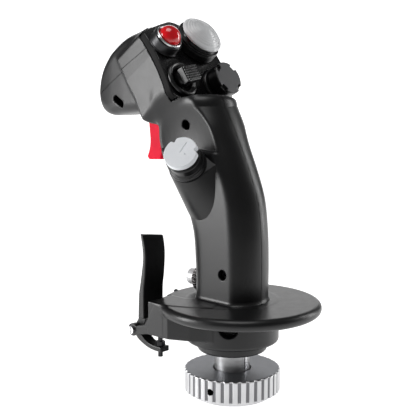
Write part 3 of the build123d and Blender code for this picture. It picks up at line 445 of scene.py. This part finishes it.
def grip_column(x, y, z):
    centre, half, rear, crease, flat, apex = (along_table(SECTIONS, i, z) for i in range(1, 7))
    u = x - centre
    depth = crease - rear
    radius = (half ** 2 + depth ** 2) / (2 * depth)
    back = np.hypot(u, np.minimum(y - rear - radius, 0.0)) - radius
    depth = apex - flat
    radius = (half ** 2 + depth ** 2) / (2 * depth)
    front = np.hypot(u, np.maximum(y - apex + radius, 0.0)) - radius
    sides = smooth_max(smooth_max(back, np.abs(u) - half, 1.2), front, 2.0)
    sides = sides - 1.3 * np.clip((63.4 - z) / 2.4, 0.0, 1.0) ** 2
    return smooth_max(sides, z - 187.0 - 0.03 * (y - 8.0), 9.0)


HEAD_SIDE = [
    (58.0, 240.0), (68.6, 235.4), (71.5, 229.5), (80.5, 222.0), (87.0, 213.0), (84.5, 208.5),
    (80.5, 203.0), (74.0, 193.5), (66.8, 184.0), (62.2, 174.5), (59.5, 170.2), (55.0, 167.6),
    (47.0, 165.0), (33.5, 168.0), (22.0, 180.0), (20.0, 200.0), (40.0, 238.0)]
NOSE_SIDE = smooth_curve([
    (45.0, 222.0), (60.0, 226.0), (79.0, 222.8), (94.7, 214.8), (102.2, 208.8), (108.4, 202.5),
    (113.8, 194.8), (116.4, 187.5), (113.6, 180.8), (107.8, 175.8), (98.8, 173.4), (87.7, 174.4),
    (75.0, 175.5), (60.0, 177.0), (45.0, 182.0)], 5, True)
NOSE_TOP = smooth_curve([
    (-9.0, 40.0), (-13.5, 52.0), (-15.4, 66.0), (-15.2, 78.0), (-14.6, 88.0), (-13.6, 98.0),
    (-11.6, 107.0), (-8.0, 113.4), (-2.0, 116.6), (4.0, 116.4), (9.4, 113.0), (13.0, 107.0),
    (15.6, 97.0), (18.8, 84.0), (21.5, 70.0), (20.0, 54.0), (14.0, 42.0)], 5, True)
FACE_CORNERS = [        # x, arc position, radius
    (-16.2, 22.6, 3.2), (14.0, 30.0, 8.0), (19.0, 14.0, 17.0), (22.6, -16.8, 14.6), (-12.6, -18.6, 7.6)]


def outline(x, s, step=3.0):
    """Distance to the rounded outline of the plate and head, in arc coordinates of the face."""
    d = None
    for a in np.radians(np.arange(0.0, 360.0, step)):
        reach = max(cx * cos(a) + cs * sin(a) + r for cx, cs, r in FACE_CORNERS)
        side = x * np.float32(cos(a)) + s * np.float32(sin(a)) - np.float32(reach)
        d = side if d is None else np.maximum(d, side)
    return d


def head(x, y, z):
    side = polygon(HEAD_SIDE, y, z)
    middle = [(FACE_LOW[i] + FACE_HIGH[i]) / 2 + OUT[i] * SAGITTA for i in (0, 1)]
    across = (y - middle[0]) * UP[0] + (z - middle[1]) * UP[1]
    block = smooth_max(side, outline(x, across), 2.0)
    block = smooth_max(block, (x - 38.0) * 0.882 + (y - 50.0) * 0.471, 6.0)
    block = smooth_max(block, (x - 39.0) * 0.751 - (z - 188.0) * 0.661, 8.0)
    nose = smooth_max(polygon(NOSE_SIDE, y, z), polygon(NOSE_TOP, x, y), 8.0) - 1.0
    return smooth_min(block, nose, 4.0)


SCOOP_CENTRE, SCOOP_RADIUS, SCOOP_SHELF = (-90.0, 24.0, 153.0), 78.8, 152.5


def scoop(x, y, z):
    """Thumb recess under the face: a wide shallow ball, and the shelf that it ends on."""
    cx, cy, cz = SCOOP_CENTRE
    ball = np.sqrt((x - cx) ** 2 + (y - cy) ** 2 + (z - cz) ** 2) - SCOOP_RADIUS
    return smooth_max(ball, SCOOP_SHELF - z, 1.5)


def body_outside(x, y, z):
    """Grip and head without their openings."""
    both = smooth_min(grip_column(x, y, z), head(x, y, z), 6.0)
    return smooth_max(both, -scoop(x, y, z), 1.8)


def body_stock(x, y, z):
    """Grip and head as a shell, with the openings both halves and the cover share."""
    skin = body_outside(x, y, z)
    s, height = arc_place(y, z)
    rim = outline(x, s)
    seat = np.maximum(-PLATE_THICKNESS - height, rim - 0.9)
    outside = np.maximum(skin, -seat)
    shell = np.maximum(outside, -(outside + WALL))
    behind = np.maximum(np.maximum(rim + 3.4, slab(height, -11.0, -4.0)), skin + 1.4)
    shell = np.maximum(shell, -behind)
    trigger_slot = cuboid(x, y, z, (-4.6, 50.5, 150.0), (4.6, 76.0, 180.0))
    shell = np.maximum(shell, -trigger_slot)
    shell = np.maximum(shell, -rod(x, y, z, (0, 12.0, 70.0), (0, 40.0, 70.0), 6.7))
    shell = np.maximum(shell, -rod(x, y, z, (0, 22.4, 70.0), (0, 40.0, 70.0), 8.6))
    for sy, sz, head_x in SHELL_SCREWS:
        hole = np.maximum(np.hypot(y - sy, z - sz) - 3.0, x + 5.0)
        shell = smooth_max(shell, -hole, 0.6)
    turn = radians(29.0)
    u, v = (y - 87.0) * cos(turn) + (z - 182.0) * sin(turn), (z - 182.0) * cos(turn) - (y - 87.0) * sin(turn)
    slot = np.hypot(np.maximum(np.abs(u) - 3.4, 0.0), v) - 2.3
    return smooth_max(shell, -np.maximum(slot, x + 4.0), 0.6)


COVER_SEAM, COVER_SLOPE = (56.6, 214.2), -0.53
SEAM = 0.2
SHELL_SCREWS = [(-6.6, 79.0, -13.5), (27.5, 168.0, -8.0)]     # y, z, head's x
SHELL_VOXEL = 0.8


def cut_away(mesh, planes):
    """Points and faces of a mesh on the inner side of planes, each a point and a direction."""
    work = bmesh.new()
    work.from_mesh(mesh)
    for point, direction in planes:
        parts = work.verts[:] + work.edges[:] + work.faces[:]
        bmesh.ops.bisect_plane(work, geom=parts, dist=1e-5, plane_co=point, plane_no=direction,
                               clear_outer=True)
    work.verts.index_update()
    points = np.array([v.co for v in work.verts])
    faces = [[v.index for v in f.verts] for f in work.faces]
    work.free()
    return points, faces


def grip_pieces():
    """Both grip shells and the top cover, cut from one surface along straight seams."""
    points, quads, _ = surface_net(body_stock, (-25, -25, 60), (39, 118, 234), SHELL_VOXEL)
    whole = bpy.data.meshes.new("whole")
    whole.from_pydata(points.tolist(), [], quads.tolist())
    seam, rise = (0.0, *COVER_SEAM), (0.0, -COVER_SLOPE, 1.0)
    down = tuple(-v for v in rise)
    size = hypot(*rise) / SEAM
    under = tuple(a - b / size for a, b in zip(seam, rise)), rise
    over = tuple(a + b / size for a, b in zip(seam, rise)), down
    for name, node, planes in (
            ("left_grip_shell", "grip_left_half", (under, ((-SEAM, 0, 0), (1, 0, 0)))),
            ("right_grip_shell", "grip_right_half", (under, ((SEAM, 0, 0), (-1, 0, 0)))),
            ("head_top_cover", "head_cover", (over,))):
        points, faces = cut_away(whole, planes)
        normals = onto_surface(body_stock, points, SHELL_VOXEL)[1]
        obj = new_object(name, points, faces, [BODY], None, normals)
        stands_for(obj, "grip", node)
    bpy.data.meshes.remove(whole)


grip_pieces()

BARREL_FOOT, BARREL_HALF = (12.0, 126.0), (14.5, 18.0)     # ellipse on the grip's flat: middle, half axes
BARREL_TOP = 12.2
BARREL_POINT = 1.58          # reach of the top's corner toward the crease, in top radii
BARREL_TURN = 0.09           # how far that corner is turned


def barrel():
    """Housing of the thumb wheel: from an ellipse on the flat up to a circle with one drawn-out corner."""
    top = np.array(WHEEL.to_translation())
    wx, wy, wz = (np.array(WHEEL.to_3x3().col[i]) for i in range(3))
    segments, steps = 144, 12
    foot_x = -15.5
    edge = [(0.0, 0.5)] * (steps + 1) + [(0.35, 0.12), (1.0, 0.0)]      # inset and depth below the top
    rings = []
    lean = acos(1 / BARREL_POINT)
    for k, (inset, depth) in enumerate(edge):
        t = min(k / steps, 1.0)
        ring = []
        for i in range(segments):
            a = 2 * pi * i / segments
            off = abs((a + BARREL_TURN) % (2 * pi) - pi)
            reach = 1 / cos(lean - min(off, lean))
            low = np.array([foot_x, BARREL_FOOT[0] + BARREL_HALF[0] * cos(a),
                            BARREL_FOOT[1] + BARREL_HALF[1] * sin(a)])
            size = BARREL_TOP * reach - inset
            high = top + (wy * sin(a) - wx * cos(a)) * size - wz * depth
            ring.append(low * (1 - t) + high * t)
        rings.append(ring)
    points = np.array(rings).reshape(-1, 3)
    faces = [tuple(range(segments))[::-1], tuple(range((steps + 2) * segments, (steps + 3) * segments))]
    for k in range(steps + 2):
        for i in range(segments):
            j = (i + 1) % segments
            faces.append((k * segments + i, k * segments + j, (k + 1) * segments + j, (k + 1) * segments + i))
    obj = new_object("thumb_wheel_barrel", points, faces, [BODY])
    facing_out(obj)
    obj.modifiers.new("weighted", "WEIGHTED_NORMAL").keep_sharp = True
    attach(obj, "grip")


barrel()


# ------------------------------------------------------------------ face plate
PLATE_HOLES = [(TRIM, 9.0), (RED_SPOT, 6.2), (RIBBED, 9.0), (CASTLE, 8.6)]


def face_plate(x, y, z):
    s, height = arc_place(y, z)
    plate = extruded(outline(x, s, 2.0), slab(height, -PLATE_THICKNESS + 0.1, 0.0), 0.7)
    for place, radius in PLATE_HOLES:
        o, n = place.to_translation(), place.to_3x3().col[2]
        u, v, w = x - o.x, y - o.y, z - o.z
        along = u * n.x + v * n.y + w * n.z
        across = np.sqrt(np.maximum(u * u + v * v + w * w - along * along, 0.0))
        plate = np.maximum(plate, radius - across)
    return plate


# Faces turned to -x take the second material: painted shade on the plate's left side.
def plate_side_shade_pick(middle, normal):
    return normal[:, 0] < -0.6


solid("control_face", face_plate, (-21, 25, 175), (39, 72, 236), 0.6, [PLATE, PLATE_SIDE_PAINTED_SHADE], "grip", ["face_plate"],
      pick=plate_side_shade_pick)

# ------------------------------------------------------------------ controls on the face
turned("trim_hat_bezel",
       [(7.7, -5.3), (8.9, -5.3), (8.9, 0.2), (15.3, 0.2), (15.3, 4.6), (14.9, 4.9), (15.3, 5.2),
        (15.2, 6.6), (13.4, 6.6), (13.3, 8.2), (7.7, 8.2)],
       TRIM, CAP, "grip", ["trim_bezel"], 0.4, closed=True)


def dome(radius, base, height, crown, rings):
    """Profile of the ringed dome: a short wall, a shoulder and a crown with fine round steps."""
    line = [(0.0, base + 1.0), (radius - 2.0, base + 1.0), (radius - 2.0, base), (radius, base),
            (radius, base + height), (radius - 0.5, base + height + 0.45)]
    for i in range(rings):
        r = (radius - 1.3) * (1 - i / rings)
        z = base + height + crown * (1 - (r / radius) ** 2)
        line += [(r, z + 0.10), (r - 0.25, z - 0.12), (r - 0.55, z + 0.12)]
    return line + [(0.0, base + height + crown + 0.05)]


turned("trim_hat_cap", dome(14.3, 9.1, 1.3, 6.2, 9), TRIM, PALE, "trim_hat", ["trim_cap"], 0.3, 128)
turned("release_bush_piece",
       [(4.6, -12.0), (6.1, -12.0), (6.1, 0.2), (10.2, 0.2), (10.1, 0.9), (9.8, 1.1), (9.8, 6.4),
        (9.5, 7.0), (7.6, 7.0), (7.6, 1.0), (4.6, 1.0)],
       RED_SPOT, BLACK_OXIDE, "grip", ["release_bush"], 0.4, closed=True)
turned("release_collar_piece",
       [(7.65, 7.0), (9.0, 7.0), (8.7, 8.0), (8.2, 8.3), (7.65, 8.1)],
       RED_SPOT, STEEL, "grip", ["release_collar"], 0.2, closed=True)


def crown_line(radius, base, top, steps):
    """Round crown from its rim up to the axis."""
    return [(radius * cos(a), base + (top - base) * sin(a)) for a in np.linspace(0.0, pi / 2, steps)]


turned("release_button_piece",
       [(0.0, -13.0), (2.0, -13.0), (2.0, -8.0), (4.4, -8.0), (4.4, 3.2), (7.2, 3.2)]
       + crown_line(7.2, 7.8, 14.6, 16), RED_SPOT, RED, "release", ["release_button"], 0.3)
turned("selector_ring_piece",
       [(7.5, -5.3), (8.9, -5.3), (8.9, 0.2), (11.6, 0.2), (11.7, 1.2), (10.9, 2.4), (9.6, 2.4),
        (8.6, 1.6), (7.5, 0.6)],
       RIBBED, CAP, "grip", ["selector_ring"], 0.7, closed=True)
turned("castle_hat_boss",
       [(7.1, -5.3), (8.5, -5.3), (8.5, 0.2), (11.8, 0.2), (11.0, 1.6), (10.4, 1.9), (7.1, 1.9)],
       CASTLE, CAP, "grip", ["castle_boss"], 0.5, closed=True)


def selector(x, y, z):
    stem = rod(x, y, z, (0, 0, -12.5), (0, 0, 5.0), 2.2)
    ball = np.maximum(np.sqrt(x * x + y * y + (z - 0.2) ** 2) - 5.9, 0.2 - z)
    pins = rod(x, y, z, (0, -5.1, -10.5), (0, 5.1, -10.5), 0.8)
    turn = radians(9.5)
    x, y = x * cos(turn) + y * sin(turn), y * cos(turn) - x * sin(turn)
    block = cuboid(x, y, z, (-6.0, -5.2, 4.2), (6.0, 5.2, 9.6), 0.7)
    pitch = 10.4 * 0.94 / 6
    row = np.clip(np.round(y / pitch - 0.5), -3, 2) + 0.5
    rib = cuboid(x, y - row * pitch, z, (-5.6, -0.5, 8.8), (5.6, 0.5, 10.7), 0.3)
    return np.minimum(np.minimum(smooth_min(smooth_min(stem, ball, 1.0), block, 1.0), pins), rib)


solid("selector_cap_piece", selector, (-7.0, -7.0, -13.5), (7.0, 7.0, 11.2), 0.2, [CAP], "selector",
      ["selector_cap"], RIBBED)


def castle_hat(x, y, z):
    r = np.hypot(x, y)
    body = extruded(r - 10.9, slab(z, 4.2, 12.0), 0.7)
    for turn in range(4):
        a = radians(45 + 90 * turn)
        u, v = x * cos(a) + y * sin(a), y * cos(a) - x * sin(a)
        notch = cuboid(u, v, z, (8.4, -2.2, 10.4), (13.4, 2.2, 16.0), 0.3)
        body = smooth_max(body, -notch, 0.5)
    foot = np.maximum(np.maximum(r - 9.4, z - 4.8), 4.2 - r)
    hollow = np.maximum(slab(r, 4.2, 9.3), z - 7.2)
    stem_seat = np.maximum(r - 2.3, z - 9.8)
    for cut in (foot, hollow, stem_seat):
        body = np.maximum(body, -cut)
    return body


# Faces facing up on the cap's top take the lighter grey material.
def castle_pick(middle, normal):
    return (normal[:, 2] > 0.9) & (middle[:, 2] > 11.0)


solid("castle_hat_cap", castle_hat, (-11.2, -11.2, 4.0), (11.2, 11.2, 12.2), 0.25, [CAP, MATTE], "castle",
      ["castle_cap"], CASTLE, castle_pick)

# ------------------------------------------------------------------ thumb wheel
turned("thumb_wheel_collar",
       [(6.7, 0.0), (11.8, 0.0), (11.8, 1.3), (11.1, 1.9), (11.1, 2.9), (10.2, 3.5), (10.2, 8.4),
        (9.0, 9.4), (6.7, 9.4)],
       WHEEL, CAP, "grip", ["wheel_collar"], 0.45, closed=True)


def thumb_wheel(x, y, z):
    r = np.hypot(x, y)
    body = extruded(r - 10.4, slab(z, 11.6, 15.2), 0.5)
    for a in (radians(14), radians(128)):
        u, v = x * cos(a) + y * sin(a) - 11.3, y * cos(a) - x * sin(a)
        b = radians(35)
        u, v = u * cos(b) + v * sin(b), v * cos(b) - u * sin(b)
        notch = cuboid(u, v, z, (-2.3, -1.7, 5.0), (2.3, 1.7, 20.0), 0.4)
        body = smooth_max(body, -notch, 0.6)
    lean = radians(21)
    line = cuboid(x * cos(lean) - y * sin(lean), x * sin(lean) + y * cos(lean), z, (-0.25, -0.2, 14.8),
                  (0.25, 7.4, 17.0))
    dot = rod(x, y, z, (3.3, -1.2, 14.7), (3.3, -1.2, 17.0), 0.45)
    body = np.maximum(body, -np.minimum(line, dot))
    bore = rod(x, y, z, (0, 0, 10.0), (0, 0, 14.6), 1.9)
    return np.maximum(body, -bore)


solid("thumb_wheel_cap", thumb_wheel, (-10.6, -10.6, 11.4), (10.6, 10.6, 15.4), 0.2, [WHITE], "wheel",
      ["wheel_cap"], WHEEL)

# ------------------------------------------------------------------ front button
turned("front_push_button", [(0.0, -3.0), (5.2, -3.0), (5.2, 11.6), (4.6, 12.2), (0.0, 12.2)],
       FRONT, SILVER_CAP, "front", ["front_button"], 0.4)


def front_nut(x, y, z):
    r, a = np.hypot(x, y), np.arctan2(y, x)
    pitch = 2 * pi / 28
    a = (a + pitch / 2) % pitch - pitch / 2
    flute = np.hypot(r * np.cos(a) - 8.85, r * np.sin(a)) - 0.75
    body = extruded(r - 8.5, slab(z, -1.0, 4.2), 0.8)
    body = np.maximum(body, np.where(z < 0.2, r - 7.1 - (z + 1.0), -9.0))
    return np.maximum(smooth_max(body, -flute, 0.3), 6.7 - r)


solid("front_button_nut", front_nut, (-9, -9, -1.2), (9, 9, 4.4), 0.25, [NUT_DARK], "grip",
      ["front_nut"], FRONT)

# ------------------------------------------------------------------ trigger
TRIGGER_PIN = (62.0, 177.5)
TRIGGER_SIDE = ([(57.8, 178.5), (57.5, 168.0), (58.3, 157.0), (57.8, 147.5), (59.5, 144.4), (70.6, 143.9)]
                + smooth_curve([(72.4, 145.6), (70.2, 151.0), (69.4, 157.0), (70.4, 166.5), (70.6, 172.0)], 4)
                + [(66.4, 179.0), (65.0, 187.5), (60.5, 187.5)])


def trigger(x, y, z):
    blade = extruded(polygon(TRIGGER_SIDE, y, z), np.abs(x) - 4.0, 1.2)
    return np.maximum(blade, 1.55 - np.hypot(y - TRIGGER_PIN[0], z - TRIGGER_PIN[1]))


solid("trigger_blade", trigger, (-4.2, 57, 143), (4.2, 73, 188), 0.4, [TRIGGER_RED], "trigger", ["trigger"])

# ------------------------------------------------------------------ hand rest, hub and bracket
BRACKET = [(-41.0, 33.0), (-41.0, 16.0), (-35.0, 3.0), (-27.8, -8.3), (-8.0, 0.0), (-21.5, 19.0),
           (-21.5, 33.0)]
EAR = [(20.0, 40.0), (20.0, 60.0), (27.0, 60.0), (33.0, 50.0), (36.0, 45.4), (45.0, 42.8), (48.0, 43.0),
       (48.0, 36.2), (43.5, 37.8), (33.0, 40.0)]
LEVER_PIN = (47.6, 40.1)
CLAMP_AIM, CLAMP_Z = Vector((-0.798, -0.603, 0.0)).normalized(), 49.3


def casting(x, y, z):
    rest = extruded(np.hypot(x, y + 6.7) - 49.8, slab(z, 53.8, 61.0), 3.55)
    rest = np.maximum(rest, -cuboid(x, y, z, (-42.0, 33.0, 50.0), (-20.3, 60.0, 65.0)))
    hub = extruded(np.hypot(x, y) - 29.0, slab(z, 35.0, 60.0), 2.0)
    arm = extruded(polygon(BRACKET, x, y), slab(z, 40.0, 60.95), 0.8)
    d = smooth_min(smooth_min(rest, hub, 2.5), arm, 1.8)
    d = smooth_min(d, np.sqrt((x + 8.6) ** 2 + (y - 41.0) ** 2 + (z - 60.2) ** 2) - 1.5, 0.6)
    for low, high in ((-41.0, -36.9), (-25.9, -21.5)):
        shape = np.minimum(polygon(EAR, y, z), np.hypot(y - LEVER_PIN[0], z - LEVER_PIN[1]) - 4.0)
        d = smooth_min(d, extruded(shape, slab(x, low, high), 0.5), 0.6)
    d = np.maximum(d, -cuboid(x, y, z, (-36.9, 20.0, 30.0), (-25.9, 60.0, 52.0), 0.3))
    d = np.maximum(d, -rod(x, y, z, (-43, *LEVER_PIN), (-20, *LEVER_PIN), 1.6))
    d = np.maximum(d, -rod(x, y, z, (0, 0, 30), (0, 0, 50), 11.0))
    d = np.maximum(d, -rod(x, y, z, (0, 0, 45), (0, 0, 70), 6.0))
    for start, end, r in ((22.0, 34.0, 6.0), (9.0, 25.0, 3.0)):
        a, b = CLAMP_AIM * start, CLAMP_AIM * end
        d = smooth_max(d, -rod(x, y, z, (a.x, a.y, CLAMP_Z), (b.x, b.y, CLAMP_Z), r), 0.5)
    return d


solid("hand_rest_casting", casting, (-50.5, -57.5, 34), (50.5, 53, 62), 0.6, [BODY], "grip", ["base_casting"])
turned("post_bushing_piece", [(11.0, 29.0), (20.7, 29.0), (21.7, 30.0), (21.7, 35.0), (11.0, 35.0)],
       Matrix(), BODY, "grip", ["post_bushing"], 0.5, closed=True)

# ------------------------------------------------------------------ post and coupling ring
KEYWAY = radians(-86.0)


def post(x, y, z):
    r = np.hypot(x, y)
    tube = extruded(r - 11.0, slab(z, 0.0, 50.0), 0.4)
    d = np.maximum(np.minimum(tube, extruded(r - 11.2, slab(z, 0.0, 9.0), 0.3)), 8.6 - r)
    u, v = x * cos(KEYWAY) + y * sin(KEYWAY), y * cos(KEYWAY) - x * sin(KEYWAY)
    return np.maximum(d, -cuboid(u, v, z, (9.7, -1.5, 13.0), (14.0, 1.5, 31.0)))


solid("post_tube", post, (-16, -16, -0.2), (16, 16, 50.2), 0.4, [POST_SILVER], "grip", ["post"])

RING_RADIUS, RING_TOP, FLUTES, FLUTE_RADIUS = 30.0, 17.0, 36, 1.25


SPANNER_AIM, SPANNER_Z = Vector((-0.966, -0.257, 0.0)).normalized(), 9.6


def coupling_ring(x, y, z):
    r, a = np.hypot(x, y), np.arctan2(y, x)
    pitch = 2 * pi / FLUTES
    a = (a + pitch / 2) % pitch - pitch / 2
    flute = np.hypot(r * np.cos(a) - RING_RADIUS - 0.35, r * np.sin(a)) - FLUTE_RADIUS
    rim = extruded(r - RING_RADIUS, slab(z, 3.0, RING_TOP), 0.9)
    rim = smooth_max(rim, -flute, 0.35)
    lip = extruded(r - 25.0, slab(z, 0.0, 6.0), 0.4)
    d = np.minimum(rim, lip)
    d = np.maximum(d, -np.maximum(r - 17.0, z - 13.0))
    d = smooth_max(d, 12.0 - r, 0.5)
    height = Vector((0, 0, SPANNER_Z))
    return np.maximum(d, -rod(x, y, z, SPANNER_AIM * 23.5 + height, SPANNER_AIM * 34.0 + height, 2.0))


def ring_pick(middle, normal):
    """Dark top, grey flutes, the spanner hole's inside painted black as shade; the rest is the silver side.
    """
    x, y, z = middle.T
    r = np.hypot(x, y)
    along = x * SPANNER_AIM.x + y * SPANNER_AIM.y
    off = np.hypot(y * SPANNER_AIM.x - x * SPANNER_AIM.y, z - SPANNER_Z)
    top = (normal[:, 2] > 0.75) & (z > RING_TOP - 1.2)
    groove = (r > 27.0) & (r < RING_RADIUS - 0.45) & (np.abs(z - 10.0) < 6.4)
    hole = (off < 2.1) & (along > 20) & (along < RING_RADIUS - 0.7)
    return np.select([hole, groove, top], [2, 3, 1], 0)


solid("knurled_ring", coupling_ring, (-30.2, -30.2, -0.2), (30.2, 30.2, 17.2), 0.45,
      [RING_SIDE, ANODISED, HOLE_PAINTED_SHADE, FLUTE_GREY], "ring", ["coupling_ring"], pick=ring_pick)

# ------------------------------------------------------------------ lever
BLADE = ([(43.2, 48.4)] + smooth_curve([(38.0, 48.4), (37.9, 66.0), (36.6, 76.0), (35.8, 88.0), (36.6, 96.0),
                                        (38.2, 101.2)], 5)
         + smooth_curve([(40.6, 102.0), (38.9, 94.0), (38.4, 86.0), (40.0, 76.0), (42.4, 64.0)], 5))
LUG = [(43.2, 52.0), (38.0, 52.0), (39.5, 47.6), (44.0, 39.6), (47.6, 36.5), (51.2, 40.1)]
ARM = smooth_curve([(50.6, 38.4), (48.0, 33.8), (40.5, 30.2), (34.0, 28.8), (26.6, 28.6)], 5) + smooth_curve(
    [(26.6, 31.8), (34.0, 32.0), (40.0, 33.6), (44.3, 37.4)], 5)


def lever(x, y, z):
    blade = extruded(polygon(BLADE, y, z), slab(x, -40.0, -23.0), 0.7)
    blade = smooth_max(blade, z - 101.9 + 0.14 * (x + 40.0), 0.6)
    lug = np.minimum(polygon(LUG, y, z), np.hypot(y - LEVER_PIN[0], z - LEVER_PIN[1]) - 3.7)
    inner = slab(x, -36.6, -29.2)
    d = smooth_min(blade, extruded(lug, inner, 0.5), 1.0)
    d = smooth_min(d, extruded(polygon(ARM, y, z), inner, 0.6), 0.8)
    d = np.maximum(d, 1.65 - np.hypot(y - LEVER_PIN[0], z - LEVER_PIN[1]))
    return np.maximum(d, -rod(x, y, z, (-33.0, 30.5, 20), (-33.0, 30.5, 40), 1.5))


solid("squeeze_lever", lever, (-40.2, 26, 28), (-22.8, 52, 102.6), 0.45, [BODY], "lever", ["lever"])

# ------------------------------------------------------------------ floor, light and camera
CAMERA_AT = Vector((-0.3846, -0.3379, 0.1879))
VIEW = Vector((0.7259, 0.6736, -0.1385)).normalized()
LENS = 72.26

camera = bpy.data.objects.new("camera", bpy.data.cameras.new("camera"))
camera.data.lens, camera.data.sensor_width = LENS, 36.0
camera.data.clip_start = 0.01
camera.location = CAMERA_AT
camera.rotation_mode = "QUATERNION"
camera.rotation_quaternion = VIEW.to_track_quat("-Z", "Y")
bpy.context.scene.collection.objects.link(camera)
bpy.context.scene.camera = camera


def glowing(name, strength, behind=False):
    """Pale matte material that also gives off light; behind limits it to the part past the object."""
    material = shader(name, (0.60, 0.60, 0.60), 0.6, shade=0.01, marks=0.02)
    nodes, links = material.node_tree.nodes, material.node_tree.links
    surface = nodes["Principled BSDF"]
    surface.inputs["Emission Color"].default_value = (1, 1, 1, 1)
    surface.inputs["Emission Strength"].default_value = strength
    if behind:
        place = nodes.new("ShaderNodeTexCoord")
        along = nodes.new("ShaderNodeVectorMath")
        along.operation = "DOT_PRODUCT"
        along.inputs[1].default_value = (VIEW.x, VIEW.y, 0.0)
        links.new(place.outputs["Object"], along.inputs[0])
        fade = nodes.new("ShaderNodeMapRange")
        for socket, value in zip(("From Min", "From Max", "To Min", "To Max"), (-0.4, -0.1, 0.0, strength)):
            fade.inputs[socket].default_value = value
        links.new(along.outputs["Value"], fade.inputs["Value"])
        links.new(fade.outputs["Result"], surface.inputs["Emission Strength"])
    return material


def stage_piece(name, points, faces, material):
    mesh = bpy.data.meshes.new(name)
    mesh.from_pydata(points, [], faces)
    mesh.materials.append(material)
    obj = bpy.data.objects.new(name, mesh)
    bpy.context.scene.collection.objects.link(obj)


FLOOR_RADIUS, WALL_HALF_ANGLE = 4.0, radians(24)
turns = np.arange(96) * 2 * pi / 96
stage_piece("floor", [(FLOOR_RADIUS * cos(a), FLOOR_RADIUS * sin(a), 0.0) for a in turns], [tuple(range(96))],
            glowing("floor_white", 0.9, True))
ahead = atan2(VIEW.y, VIEW.x)
spread = np.linspace(ahead - WALL_HALF_ANGLE, ahead + WALL_HALF_ANGLE, 17)
wall_radius = FLOOR_RADIUS - 0.05
stage_piece("backdrop",
            [(wall_radius * cos(a), wall_radius * sin(a), z) for z in (-0.01, 3.0) for a in spread],
            [(i, i + 1, i + 18, i + 17) for i in range(16)], glowing("backdrop_white", 1.0))

world = bpy.data.worlds.new("studio")
bpy.context.scene.world = world
world.use_nodes = True
world.node_tree.nodes["Background"].inputs["Color"].default_value = (1, 1, 1, 1)
world.node_tree.nodes["Background"].inputs["Strength"].default_value = 0.10


def softbox(name, place, aim, width, height, power):
    light = bpy.data.lights.new(name, "AREA")
    light.shape, light.size, light.size_y, light.energy = "RECTANGLE", width, height, power
    obj = bpy.data.objects.new(name, light)
    obj.location = place
    obj.rotation_mode = "QUATERNION"
    obj.rotation_quaternion = (Vector(aim) - Vector(place)).to_track_quat("-Z", "Y")
    bpy.context.scene.collection.objects.link(obj)


softbox("left_softbox", (-1.0, 0.85, 0.25), (0, 0, 0.13), 0.5, 0.9, 17)
softbox("top_softbox", (-0.25, -0.1, 1.1), (0, 0, 0.1), 0.6, 0.6, 3.5)
softbox("right_strip", (1.0, -0.45, 0.3), (0, 0, 0.13), 0.22, 1.0, 5)

bpy.context.scene.view_settings.view_transform = "Standard"
